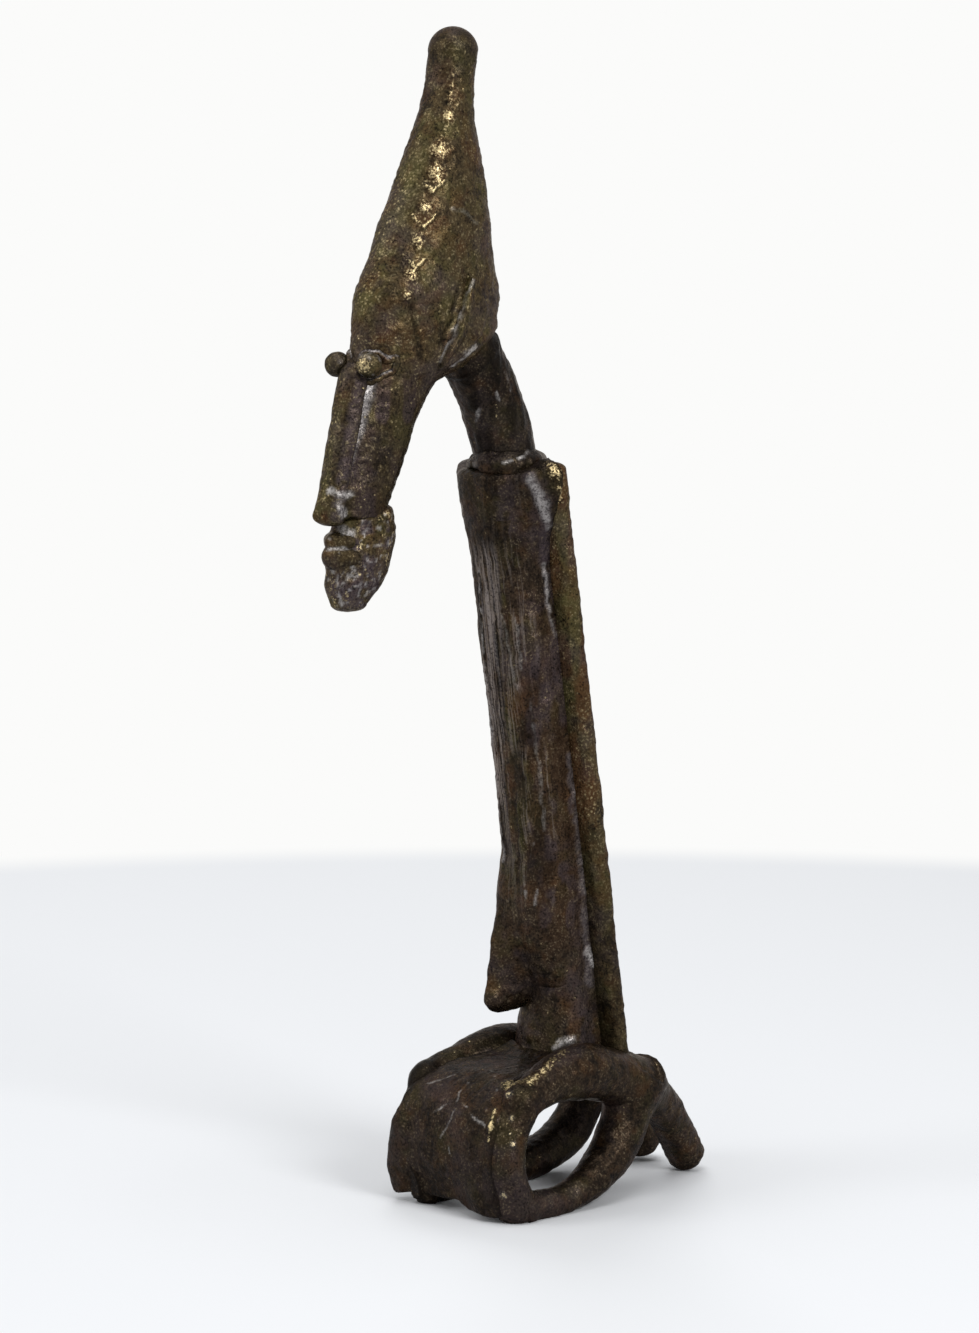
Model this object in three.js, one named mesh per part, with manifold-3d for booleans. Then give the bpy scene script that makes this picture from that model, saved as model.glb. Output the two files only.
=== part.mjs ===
// A small seated figure in cast bronze: tall pointed cap, long face with bulging eyes, slanting neck,
// tall flat torso with straight arms, and legs folded into two open loops under an apron.
// The founder forms each piece in wax, lutes them together and casts them, and each piece is one mesh.
// Millimetres, Z up. The figure faces -Y and its left side is +X.

import * as THREE from "three";
import { mergeVertices } from "three/addons/utils/BufferGeometryUtils.js";
import Module from "manifold-3d";

const wasm = await Module();
wasm.setup();

// Driving sizes. Lengths are in millimetres and angles in degrees. A reach is a level distance from
// the middle of the torso's foot, and a spread is one from the middle of the figure.
const clearance = 0.3; // gap between a piece and the neighbour that it is fitted to
const seat = 2.0; // how deep a piece's end is let into the piece that carries it
const filedOff = 0.5; // flattened under the lowest places, so that the figure stands

const hipHeight = 25.8; // ground to the torso's foot
const hipHalfWidth = 9.6;
const hipHalfDepth = 8.4;
const hipDepth = 7.0; // the hips reach this far under the torso's foot
const hipRoundingBelow = 1.5;
const hipRoundingAbove = 0.8;

const legSpread = 12.3; // to the middle of a knee
const kneeReach = 23.2; // forward, to the top of a knee
const kneeHeight = 20.6; // ground to the same place
const kneeRadius = 3.1;
const kneeBow = 2.6; // the fronts of the legs bow forward this much below the knees
const kneeFootForward = 1.4; // and reach the ground this much in front of the knees' tops
const kneeFootRadius = 3.2;
const thighRadius = 4.9;
const thighArch = 3.6; // the thighs rise this much halfway along
const rumpReach = 7.2; // backward, to where thigh, shin and foot meet
const rumpSpread = 9.2; // to the same place
const rumpUnder = 6.2; // torso's foot down to the same place
const rumpLag = 6.4; // the right side's place lies this much farther back
const rumpRadius = 4.5;

const shinRadius = 3.1; // where it lies on the ground
const rightShinRadius = 3.5;
const shinUpperRadius = 3.7; // from its bend up
const shinLevel = 10.0; // length of a shin that lies on the ground
const shinBend = 0.5; // backward reach of the place where it bends upward
const shinLift = 4.4; // height that it has gained there
const shinLag = 9.0; // the right shin bends upward this much farther back
const shinInward = 2.0; // and lies this much nearer the middle before it does

const footRadius = 3.2;
const footRootRadius = 3.5; // where it leaves the thigh
const footArch = 2.2;
const toeReach = 25.4; // backward, to the toes
const toeGap = 11.4; // between the middles of the toes
const toeShift = -2.2; // both toes lie off the figure's middle by this much

const apronHalfWidth = 13.0;
const apronShift = -0.9; // the apron hangs off the figure's middle by this much
const apronShoulder = 1.2; // its far upper corner is narrower by this much
const apronThickness = 2.4;
const lapHalfWidth = 9.6; // the apron's width on the lap
const apronLap = 0.4; // its top lies this far under the torso's foot at the back
const apronSeat = 0.8; // and is let into the hips this far
const apronStand = 0.2; // its middle lies this far in front of the knees
const apronRounding = 5.0; // how far its bend over the knees is rounded
const apronHem = 1.0; // ground to the hem's middle
const apronTuck = 1.6; // the hem turns back this much

const torsoLength = 104.2;
const torsoLean = 8.3;
const torsoHalfWidth = 7.2;
const torsoHalfDepth = 5.9;
const torsoSetForward = 1.4; // in front of the line that carries the neck
const shoulderRounding = 1.2;

const armSpread = 8.5;
const armSetBack = 1.9; // behind the same line
const armHalfWidth = 2.6;
const armHalfDepth = 2.5;
const shoulderForward = 0.3; // the arms' upper ends lean forward this much
const shoulderOut = 0.9; // the right arm's upper end stands out this much
const shoulderRise = 0.4; // the arms end this far above the torso's top

const bellyHalfWidth = 6.9;
const bellyHalfDepth = 4.4;
const bellyJut = 9.0; // its fullest place stands this far in front of the torso
const bellyRise = 10.4; // torso's foot to the middle of the belly's fullest place
const bellyLength = 26.0; // from there up to its end
const bellySlope = 0.6; // the share of its jut that is left a third of the way up
const bellyRoundingBelow = 2.0;
const bellyRoundingAbove = 1.0;

const panelHalfWidth = 5.9;
const panelThickness = 0.6;
const panelDrop = 8.0; // torso's top to the panel's upper end
const panelLength = 70.0;
const panelPoint = 24.0; // length over which its lower end narrows

const neckRadius = 5.45;
const neckLength = 22.8;
const neckLean = 26.0;
const neckBow = 1.0;
const collarThickness = 2.8;
const collarSunk = 0.2; // the middle of its roll lies this far inside the neck's surface

const headReach = 9.6; // neck's top forward to the middle of the headband
const headRise = 1.6; // and upward
const bandHalfWidth = 7.4; // the cap and the head where they meet
const bandHalfDepth = 15.0;
const bandTaper = 0.15; // its front is narrower by this share
const bandHeight = 2.0;
const capHeight = 48.2; // headband to the middle of the knob
const capSetBack = 6.8; // the knob's middle lies this far behind the headband's
const knobRadius = 4.1;

const faceLength = 29.6; // headband to the end of the face
const faceSlant = 15.5; // the middle of its end lies this far in front of the headband's middle
const faceHalfWidth = 4.4;
const faceHalfDepth = 5.6;
const faceTaper = 0.12; // its front is narrower by this share
const chinRounding = 1.0;
const noseHalfWidth = 2.3;
const noseHeight = 1.8; // stands this far in front of the face
const noseRootSunk = 0.6; // but this much less at its top
const noseRootRounding = 1.5;
const noseTipRounding = 1.0;
const noseTop = 3.0; // headband to the top of the nose

const eyeRadius = 1.9;
const eyeSpread = 4.1;
const eyeDrop = 4.4; // under the headband
const eyeSetBack = 2.4; // behind the nose's front
const lidHalfHeight = 2.6;
const lidLength = 4.6; // eye's middle back to the lid's tail
const lidTailDrop = 1.0;
const lidRounding = 0.8;
const lidThickness = 2.8;

const beardLength = 13.4;
const beardHalfWidth = 4.4;
const beardHalfDepth = 6.1;
const beardRounding = 1.2;
const beardSetForward = -0.9; // its top's middle, in front of the middle of the face's end
const lipRadius = 1.3;
const lipHalfLength = 2.6;
const lipDrop = 4.6; // end of the face to the middle of the upper lip
const lipSunk = 0.9; // the middle of its roll lies this far inside the beard's front

const flapLength = 19.0;
const flapHalfWidth = 5.4;
const flapThickness = 1.2;
const flapSetBack = 4.2; // middle of the flap, behind the middle of the headband
const flapRise = 2.0; // and above it

// How boxy a section is: an ellipse at 2, and nearer a rectangle above that.
const hipSquareness = 2.8;
const apronSquareness = 3.2;
const torsoSquareness = 2.6;
const armSquareness = 2.4;
const headSquareness = 2.4;
const beardSquareness = 2.3;

// How finely the round forms are divided.
const fineSides = 20; // around the torso, hips and head
const plainSides = 16; // around the limbs
const smallSides = 12; // around the lips
const collarSides = 8;
const collarSteps = 24;
const eyeSides = 16;
const eyeSteps = 10;
const domeAngles = [30, 60, 90]; // the rings of a rounded end, and its pole
const weldDistance = 1e-4;

const darkBronze = "#3b3026";
const brownBronze = "#463829";
const wornBronze = "#6d5733";

const bronzeFinish = { roughness: 0.55, metalness: 1 };

const rad = THREE.MathUtils.degToRad;
const curveThrough = (points) => new THREE.CatmullRomCurve3(points.map((p) => new THREE.Vector3(...p)));
const between = (a, b, share = 0.5) => a.map((v, k) => v + (b[k] - v) * share);
const shifted = (a, b) => a.map((v, k) => v + b[k]);

// A closed body carried through stations { at, wide, deep, taper }. Its rings are superellipses that
// stand square to the curve through the stations, or level. A taper above zero narrows their fronts.
// Each end is flat or, where a length is given for it, round.
function loft(stations, options = {}) {
  const { sides = plainSides, steps = 2, power = 2, grow = 0, across = [1, 0, 0], level = false } = options;
  const { roundStart = 0, roundEnd = 0 } = options;
  const path = curveThrough(stations.map((s) => s.at));
  const sizes = curveThrough(stations.map((s) => [s.wide, s.deep ?? s.wide, s.taper ?? 0]));
  const bend = (v) => Math.sign(v) * Math.abs(v) ** (2 / power);
  const ring = (u, beyond, scale) => {
    const along = level ? new THREE.Vector3(0, 0, 1) : path.getTangent(u);
    const side = new THREE.Vector3(...across);
    side.addScaledVector(along, -along.dot(side)).normalize();
    const back = along.clone().cross(side);
    const centre = path.getPoint(u).addScaledVector(along, beyond);
    const size = sizes.getPoint(u);
    return Array.from({ length: scale > 0 ? sides : 1 }, (_, j) => {
      const angle = ((j + 0.5) / sides) * 2 * Math.PI;
      const y = bend(Math.sin(angle));
      const x = bend(Math.cos(angle)) * (1 + size.z * y);
      const point = centre.clone().addScaledVector(side, x * (size.x + grow) * scale);
      return point.addScaledVector(back, y * (size.y + grow) * scale);
    });
  };
  const dome = (u, length) => {
    const reach = length + Math.sign(length) * grow;
    return domeAngles.map((a) => ring(u, reach * Math.sin(rad(a)), a < 90 ? Math.cos(rad(a)) : 0));
  };
  const spans = (stations.length - 1) * steps;
  const rings = Array.from({ length: spans + 1 }, (_, i) => {
    const flatStart = i === 0 && !roundStart ? -grow : 0;
    const flatEnd = i === spans && !roundEnd ? grow : 0;
    return ring(i / spans, flatStart + flatEnd, 1);
  });
  if (roundStart) rings.unshift(...dome(0, -roundStart).reverse());
  if (roundEnd) rings.push(...dome(1, roundEnd));
  return skin(rings);
}

// Joins rings of points into one closed body. A flat end is a fan about its own middle.
function skin(rings) {
  const middle = (ring) => {
    return ring.reduce((sum, p) => sum.add(p), new THREE.Vector3()).divideScalar(ring.length);
  };
  const closed = [...rings];
  if (rings[0].length > 1) closed.unshift([middle(rings[0])]);
  if (rings.at(-1).length > 1) closed.push([middle(rings.at(-1))]);
  const faces = [];
  let start = 0;
  for (let i = 0; i + 1 < closed.length; i += 1) {
    const [lower, upper] = [closed[i].length, closed[i + 1].length];
    for (let j = 0; j < Math.max(lower, upper); j += 1) {
      const [a, b] = [start + (j % lower), start + ((j + 1) % lower)];
      const [d, c] = [start + lower + (j % upper), start + lower + ((j + 1) % upper)];
      if (lower > 1) faces.push(a, b, c);
      if (upper > 1) faces.push(a, c, d);
    }
    start += lower;
  }
  const vertices = closed.flat().flatMap((p) => p.toArray());
  return solid(vertices, faces);
}

function solid(vertices, faces) {
  const vertProperties = new Float32Array(vertices);
  const triVerts = new Uint32Array(faces);
  return new wasm.Manifold(new wasm.Mesh({ numProp: 3, vertProperties, triVerts }));
}

function solidOf(geometry) {
  geometry.deleteAttribute("normal");
  geometry.deleteAttribute("uv");
  const merged = mergeVertices(geometry, weldDistance);
  return solid(merged.attributes.position.array, merged.index.array);
}

// The biggest body of a solid, without the crumbs that a cut can leave.
function biggest(made) {
  return made.decompose().reduce((a, b) => (b.volume() > a.volume() ? b : a));
}

// A flat outline pushed through the figure, which cuts a thin piece out of a thicker skin. It lies in
// the plane of the directions right and up, and is pushed the way that their product points.
function pushed(outline, origin, right, up) {
  const shape = new THREE.Shape(outline.map(([x, y]) => new THREE.Vector2(x, y)));
  const prism = new THREE.ExtrudeGeometry(shape, { depth: torsoLength, bevelEnabled: false });
  const [u, v] = [new THREE.Vector3(...right), new THREE.Vector3(...up)];
  prism.applyMatrix4(new THREE.Matrix4().makeBasis(u, v, u.clone().cross(v)).setPosition(...origin));
  return solidOf(prism);
}

// The figure is a little uneven: some sizes hold for its right side alone.
const onRight = (side, size) => (side < 0 ? size : 0);

// A point of the leaning torso: x across, y back and up along it from its foot.
const lean = rad(torsoLean);
const torsoUp = [0, -Math.sin(lean), Math.cos(lean)];
const onTorso = (x, y, up) => [
  x,
  y * Math.cos(lean) - up * Math.sin(lean),
  hipHeight + y * Math.sin(lean) + up * Math.cos(lean),
];

const slant = rad(neckLean);
const neckFoot = onTorso(0, 0, torsoLength);
const neckTop = shifted(neckFoot, [0, -neckLength * Math.sin(slant), neckLength * Math.cos(slant)]);

// A point of the head: x across, y back and z up from the middle of the headband.
const onHead = (x, y, z) => shifted(neckTop, [x, y - headReach, z + headRise]);

// How far in front of the headband's middle the face's surface lies, at a height under the headband.
const faceReach = (drop) => bandHalfDepth + ((faceSlant + faceHalfDepth - bandHalfDepth) * drop) / faceLength;

// Where thigh, shin and foot of one side meet, behind the hips, and the two ends of a knee.
const rump = (side) => [side * rumpSpread, rumpReach + onRight(side, rumpLag), hipHeight - rumpUnder];
const kneeTop = (side) => [side * legSpread, -kneeReach, kneeHeight];
const kneeFoot = (side) => [side * legSpread, -kneeReach - kneeFootForward, kneeFootRadius - filedOff];

function hips(grow) {
  const size = { wide: hipHalfWidth, deep: hipHalfDepth };
  const stations = [
    { at: [0, 0, hipHeight - hipDepth], ...size },
    { at: [0, 0, hipHeight], ...size },
  ];
  const ends = { roundStart: hipRoundingBelow, roundEnd: hipRoundingAbove };
  return loft(stations, { grow, power: hipSquareness, sides: fineSides, ...ends });
}

function thigh(grow, side) {
  const middle = shifted(between(kneeTop(side), rump(side)), [0, 0, thighArch]);
  const quarter = shifted(between(kneeTop(side), middle), [0, 0, thighArch / 4]);
  const stations = [
    { at: kneeTop(side), wide: kneeRadius },
    { at: quarter, wide: between([kneeRadius], [thighRadius])[0] },
    { at: middle, wide: thighRadius },
    { at: rump(side), wide: rumpRadius },
  ];
  return loft(stations, { grow, roundStart: kneeRadius, roundEnd: rumpRadius });
}

function knee(grow, side) {
  const middle = shifted(between(kneeTop(side), kneeFoot(side)), [0, -kneeBow, 0]);
  const stations = [
    { at: kneeTop(side), wide: kneeRadius },
    { at: middle, wide: kneeRadius },
    { at: kneeFoot(side), wide: kneeFootRadius },
  ];
  return loft(stations, { grow, steps: 3, roundEnd: kneeFootRadius });
}

function shin(grow, side) {
  const radius = side < 0 ? rightShinRadius : shinRadius;
  const ground = radius - filedOff;
  const lag = onRight(side, shinLag);
  const bendAt = [(side * (legSpread + rumpSpread)) / 2, shinBend + lag, ground + shinLift];
  const stations = [
    { at: [side * legSpread, -kneeReach, ground], wide: radius },
    { at: [side * legSpread + onRight(side, shinInward), shinLevel + lag - kneeReach, ground], wide: radius },
    { at: bendAt, wide: shinUpperRadius },
    { at: rump(side), wide: shinUpperRadius },
  ];
  return loft(stations, { grow, steps: 4 });
}

function foot(grow, side) {
  const toe = [toeShift + (side * toeGap) / 2, toeReach, footRadius - filedOff];
  const stations = [
    { at: rump(side), wide: footRootRadius },
    { at: shifted(between(rump(side), toe), [0, 0, footArch]), wide: footRadius },
    { at: toe, wide: footRadius },
  ];
  return loft(stations, { grow, roundEnd: footRadius });
}

// The apron is a plate that lies on the lap and hangs over the knees. These stations follow its
// middle: across, back, up and half width.
function apron(grow) {
  const half = apronThickness / 2;
  const lap = hipHeight - apronLap;
  const bend = kneeHeight + kneeRadius - half;
  const front = -kneeReach - kneeBow - kneeRadius - apronStand;
  const line = [
    [0, apronSeat - hipHalfDepth, lap, lapHalfWidth],
    [0, -kneeReach / 2, between([lap], [bend])[0], lapHalfWidth],
    [0, -kneeReach, bend, lapHalfWidth],
    [
      apronShift + apronShoulder / 2,
      front + apronRounding / 4,
      kneeHeight - apronRounding / 2,
      apronHalfWidth - apronShoulder / 2,
    ],
    [apronShift, front, kneeHeight / 2, apronHalfWidth],
    [apronShift, front + apronTuck, apronHem, apronHalfWidth],
  ];
  const stations = line.map(([x, y, z, wide]) => ({ at: [x, y, z], wide, deep: half }));
  return loft(stations, { grow, steps: 3, power: apronSquareness, roundEnd: half });
}

function torso(grow) {
  const size = { wide: torsoHalfWidth, deep: torsoHalfDepth };
  const ends = [-seat, torsoLength / 2, torsoLength - shoulderRounding];
  const stations = ends.map((up) => ({ at: onTorso(0, -torsoSetForward, up), ...size }));
  return loft(stations, { grow, power: torsoSquareness, sides: fineSides, roundEnd: shoulderRounding });
}

function arm(grow, side) {
  const size = { wide: armHalfWidth, deep: armHalfDepth };
  const ends = [-seat, torsoLength / 2, torsoLength + shoulderRise - shoulderRounding];
  const back = [armSetBack, armSetBack, armSetBack - shoulderForward];
  const spread = [armSpread, armSpread, armSpread + onRight(side, shoulderOut)];
  const stations = ends.map((up, k) => ({ at: onTorso(side * spread[k], back[k], up), ...size }));
  return loft(stations, { grow, power: armSquareness, roundEnd: shoulderRounding });
}

function belly(grow) {
  const size = { wide: bellyHalfWidth, deep: bellyHalfDepth };
  const inner = -torsoSetForward - torsoHalfDepth + bellyHalfDepth;
  const stations = [
    { at: onTorso(0, inner - bellyJut, bellyRise), ...size },
    { at: onTorso(0, inner - bellySlope * bellyJut, bellyRise + bellyLength / 3), ...size },
    { at: onTorso(0, inner + clearance, bellyRise + bellyLength), ...size },
  ];
  return loft(stations, { grow, steps: 3, roundStart: bellyRoundingBelow, roundEnd: bellyRoundingAbove });
}

// The panel is a raised sheet down the torso's front, and its lower end narrows to one side.
function panel(grow) {
  const top = torsoLength - panelDrop + grow;
  const bottom = torsoLength - panelDrop - panelLength - grow;
  const half = panelHalfWidth + grow;
  const outline = [
    [-half, bottom],
    [0, bottom],
    [half, bottom + panelPoint],
    [half, top],
    [-half, top],
  ];
  return torso(panelThickness + grow).intersect(pushed(outline, onTorso(0, 0, 0), [1, 0, 0], torsoUp));
}

function neck(grow) {
  const bow = [0, neckBow * Math.cos(slant), neckBow * Math.sin(slant)];
  const stations = [
    { at: onTorso(0, 0, torsoLength - seat), wide: neckRadius },
    { at: shifted(between(neckFoot, neckTop), bow), wide: neckRadius },
    { at: neckTop, wide: neckRadius },
    { at: onHead(0, headReach / 2, seat), wide: neckRadius },
  ];
  return loft(stations, { grow, steps: 3 });
}

function collar(grow) {
  const roll = collarThickness / 2 + grow;
  const ring = new THREE.TorusGeometry(neckRadius - collarSunk, roll, collarSides, collarSteps);
  ring.rotateX(lean);
  ring.translate(...onTorso(0, 0, torsoLength + collarThickness / 4));
  return solidOf(ring);
}

// The head between the end of the face and the headband. Each row holds the share of the face's
// length, the share of its slant, and what is added to its half width and half depth there.
const headRows = [
  [1, 1, 0, 0],
  [0.73, 0.83, 0.1, 0.8],
  [0.47, 0.66, 0.3, 1.5],
  [0.27, 0.49, 0.8, 2.5],
  [0.2, 0.34, 1.3, 4.2],
];

const band = { wide: bandHalfWidth, deep: bandHalfDepth, taper: bandTaper };

function head(grow) {
  const stations = headRows.map(([down, forward, wider, deeper]) => ({
    at: onHead(0, -faceSlant * forward, -faceLength * down),
    wide: faceHalfWidth + wider,
    deep: faceHalfDepth + deeper,
    taper: faceTaper,
  }));
  stations.push({ at: onHead(0, 0, -bandHeight), ...band }, { at: onHead(0, 0, 0), ...band });
  const section = { power: headSquareness, sides: fineSides, level: true };
  return loft(stations, { grow, ...section, roundStart: chinRounding });
}

// The cap narrows from the headband to its knob: height over the band, half width and half depth.
const capRows = [
  [5.6, 7.6, 15.2],
  [13.7, 7.2, 12.7],
  [21.6, 6.6, 10.1],
  [29.6, 5.7, 7.3],
  [37.6, 4.5, 4.6],
];

function cap(grow) {
  const stations = [{ at: onHead(0, 0, clearance), ...band }];
  capRows.forEach(([height, wide, deep]) => {
    stations.push({ at: onHead(0, (capSetBack * height) / capHeight, height), wide, deep });
  });
  stations.push({ at: onHead(0, capSetBack, capHeight), wide: knobRadius });
  return loft(stations, { grow, sides: fineSides, level: true, roundEnd: knobRadius });
}

function nose(grow) {
  const drops = [noseTop, faceLength / 2, faceLength];
  const size = { wide: noseHalfWidth, deep: noseHeight };
  const sunk = (drop) => noseRootSunk * (1 - drop / faceLength);
  const stations = drops.map((drop) => ({ at: onHead(0, sunk(drop) - faceReach(drop), -drop), ...size }));
  const ends = { roundStart: noseRootRounding, roundEnd: noseTipRounding };
  return loft(stations, { grow, steps: 3, power: headSquareness, ...ends });
}

const eyeMiddle = (side, out) => {
  return onHead(side * (eyeSpread + out), -faceReach(eyeDrop) - noseHeight + eyeSetBack, -eyeDrop);
};

function eye(grow, side) {
  const ball = new THREE.SphereGeometry(eyeRadius + grow, eyeSides, eyeSteps);
  ball.translate(...eyeMiddle(side, 0));
  return solidOf(ball);
}

// The lid is a roll around the eye that ends in a tail. Each row holds how far back and up it lies
// and its shares of the lid's thickness and height.
const lidRows = [
  [-eyeRadius, 0.2, 0.8, 0.7],
  [0, 0, 1, 1],
  [lidLength, -lidTailDrop, 0.6, 0.3],
];

function eyelid(grow, side) {
  const half = lidThickness / 2;
  const middle = eyeMiddle(side, -half / 2);
  const stations = lidRows.map(([back, up, thick, tall]) => ({
    at: shifted(middle, [0, back, up]),
    wide: half * thick,
    deep: lidHalfHeight * tall,
  }));
  return loft(stations, { grow, steps: 3, roundStart: lidRounding, roundEnd: lidRounding });
}

// The beard hangs under the face. Each row holds the share of its length under its top, how far it
// stands forward, and what is taken from its half width and half depth there.
const beardRows = [
  [1, 2, 2, 3.4],
  [0.75, 1, 0.8, 1.2],
  [0.5, -0.3, 0, 0.5],
  [0.25, -1, 0, 0.4],
  [0, -1.0, 0.6, 0.3],
];

function beard(grow) {
  const top = onHead(0, -faceSlant - beardSetForward, -faceLength - chinRounding - clearance);
  const stations = beardRows.map(([down, forward, narrower, thinner]) => ({
    at: shifted(top, [0, -forward, -beardLength * down]),
    wide: beardHalfWidth - narrower,
    deep: beardHalfDepth - thinner,
  }));
  return loft(stations, { grow, power: beardSquareness, level: true, roundStart: beardRounding });
}

// Upper and lower lip are two rolls across the front of the beard, counted from above.
function lip(grow, row) {
  const drop = lipDrop + row * (2 * lipRadius + clearance);
  const front = faceSlant + beardSetForward + beardHalfDepth;
  const middle = onHead(0, lipSunk - front, -faceLength - drop);
  const end = (sign) => shifted(middle, [sign * lipHalfLength, lipRadius / 2, 0]);
  const stations = [end(-1), middle, end(1)].map((at) => ({ at, wide: lipRadius }));
  const ends = { roundStart: lipRadius, roundEnd: lipRadius };
  return loft(stations, { grow, sides: smallSides, across: [0, 0, 1], ...ends });
}

// A pointed flap over the ear, from its apex down to the corner between face and neck.
function earFlap(grow, side) {
  const half = flapHalfWidth + grow;
  const tall = flapLength / 2 + grow;
  const outline = [
    [0, tall],
    [half, tall / 4],
    [0, -tall / 2],
    [-half, -tall],
  ];
  const turned = side > 0 ? outline : outline.map(([y, z]) => [-y, z]).reverse();
  const prism = pushed(turned, onHead(0, flapSetBack, flapRise), [0, side, 0], [0, 0, 1]);
  return head(flapThickness + grow).add(cap(flapThickness + grow)).intersect(prism);
}

// Every piece with its shape, its colour and the pieces that it gives way to.
const pieces = new Map();
const add = (name, shape, colour, ...givesWayTo) => pieces.set(name, { shape, colour, givesWayTo });
const leftAndRight = [["left", 1], ["right", -1]];

add("hips", hips, brownBronze);
leftAndRight.forEach(([word, side]) => {
  const [thighName, kneeName, shinName] = ["thigh", "knee", "shin"].map((kind) => `${word}_${kind}`);
  add(thighName, (grow) => thigh(grow, side), brownBronze, "hips");
  add(kneeName, (grow) => knee(grow, side), brownBronze, thighName);
  add(shinName, (grow) => shin(grow, side), brownBronze, thighName, kneeName, "hips");
  add(`${word}_foot`, (grow) => foot(grow, side), brownBronze, thighName, shinName, "hips");
});
const legPieces = ["thigh", "knee", "shin"].flatMap((kind) => [`left_${kind}`, `right_${kind}`]);
add("apron", apron, brownBronze, "hips", ...legPieces);
add("torso", torso, brownBronze, "hips", "apron", "left_thigh", "right_thigh");
leftAndRight.forEach(([word, side]) => {
  add(`${word}_arm`, (grow) => arm(grow, side), wornBronze, "torso", "hips", `${word}_thigh`);
});
add("belly", belly, brownBronze, "torso", "apron");
add("chest_panel", panel, brownBronze, "torso", "belly");

add("head", head, darkBronze);
add("cap", cap, wornBronze, "head");
add("neck", neck, darkBronze, "head", "cap", "torso");
add("neck_collar", collar, darkBronze, "neck", "torso");
add("nose", nose, darkBronze, "head", "cap");
leftAndRight.forEach(([word, side]) => {
  add(`${word}_eye`, (grow) => eye(grow, side), wornBronze, "head", "cap");
  add(`${word}_eyelid`, (grow) => eyelid(grow, side), darkBronze, "head", "cap", "nose", `${word}_eye`);
  add(`${word}_ear_flap`, (grow) => earFlap(grow, side), darkBronze, "head", "cap", "neck");
});
add("beard", beard, darkBronze, "head", "nose");
add("upper_lip", (grow) => lip(grow, 0), darkBronze, "beard", "nose");
add("lower_lip", (grow) => lip(grow, 1), darkBronze, "beard", "upper_lip");

// Whatever reaches under the ground's level is filed off there.
const under = new THREE.BoxGeometry(torsoLength, torsoLength, hipHeight);
under.translate(0, 0, -hipHeight / 2);
const ground = solidOf(under);

const figure = new THREE.Group();
const reach = new THREE.Box3();
pieces.forEach(({ shape, colour, givesWayTo }, name) => {
  const cutters = givesWayTo.map((other) => pieces.get(other).shape(clearance));
  const fitted = biggest([...cutters, ground].reduce((left, cutter) => left.subtract(cutter), shape(0)));
  const { vertProperties, triVerts } = fitted.getMesh();
  const geometry = new THREE.BufferGeometry();
  geometry.setAttribute("position", new THREE.BufferAttribute(vertProperties, 3));
  geometry.setIndex(new THREE.BufferAttribute(triVerts, 1));
  geometry.computeVertexNormals();
  geometry.computeBoundingBox();
  reach.union(geometry.boundingBox);
  const bronze = new THREE.MeshStandardMaterial({ color: colour, ...bronzeFinish });
  const mesh = new THREE.Mesh(geometry, bronze);
  mesh.name = name;
  figure.add(mesh);
});

// The origin is on the ground under the middle of the whole figure.
const middle = reach.getCenter(new THREE.Vector3());
figure.position.set(-middle.x, -middle.y, 0);

export default figure;
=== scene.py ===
import bpy
import numpy as np
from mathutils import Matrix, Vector


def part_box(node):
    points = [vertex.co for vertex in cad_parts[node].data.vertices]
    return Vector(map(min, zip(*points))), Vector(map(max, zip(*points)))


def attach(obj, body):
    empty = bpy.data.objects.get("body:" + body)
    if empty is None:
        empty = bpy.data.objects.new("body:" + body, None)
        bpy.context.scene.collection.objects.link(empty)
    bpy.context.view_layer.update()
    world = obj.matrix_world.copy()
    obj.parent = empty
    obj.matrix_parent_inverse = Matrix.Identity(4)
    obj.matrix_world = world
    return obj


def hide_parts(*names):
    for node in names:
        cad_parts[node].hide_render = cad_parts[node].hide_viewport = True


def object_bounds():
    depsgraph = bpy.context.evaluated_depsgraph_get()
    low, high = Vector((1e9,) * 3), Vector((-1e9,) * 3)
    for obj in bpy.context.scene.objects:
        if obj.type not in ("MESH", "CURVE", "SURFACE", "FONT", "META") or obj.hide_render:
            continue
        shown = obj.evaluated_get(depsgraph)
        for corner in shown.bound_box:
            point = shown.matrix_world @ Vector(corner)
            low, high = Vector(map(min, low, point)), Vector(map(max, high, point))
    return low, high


# A small seated figure in cast bronze. Its pieces are worked out in millimetres from the middle of
# the hips on the ground: x to the figure's left, y to its back and z up.
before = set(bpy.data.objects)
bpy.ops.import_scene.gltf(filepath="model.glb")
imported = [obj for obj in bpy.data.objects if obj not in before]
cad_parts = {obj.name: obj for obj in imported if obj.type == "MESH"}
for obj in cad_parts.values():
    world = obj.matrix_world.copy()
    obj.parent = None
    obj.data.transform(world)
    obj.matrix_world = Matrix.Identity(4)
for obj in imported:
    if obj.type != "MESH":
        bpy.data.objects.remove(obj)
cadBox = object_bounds()
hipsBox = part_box("hips")
millimetre = 0.001
home = np.array([(hipsBox[0].x + hipsBox[1].x) / 2, (hipsBox[0].y + hipsBox[1].y) / 2, 0.0])
cadLow = (np.array(cadBox[0]) - home) / millimetre
cadHigh = (np.array(cadBox[1]) - home) / millimetre

# The mesh's grid, a fillet's rise as a share of its blend, how dark the painted shade in a seam is,
# and how far inside the CAD box the first piece ends.
casting = {"gridStep": 0.3, "fillet": 0.25, "seamShade": 0.7, "inset": 0.01}


def sinCos(degrees):
    return np.sin(np.radians(degrees)), np.cos(np.radians(degrees))


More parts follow.
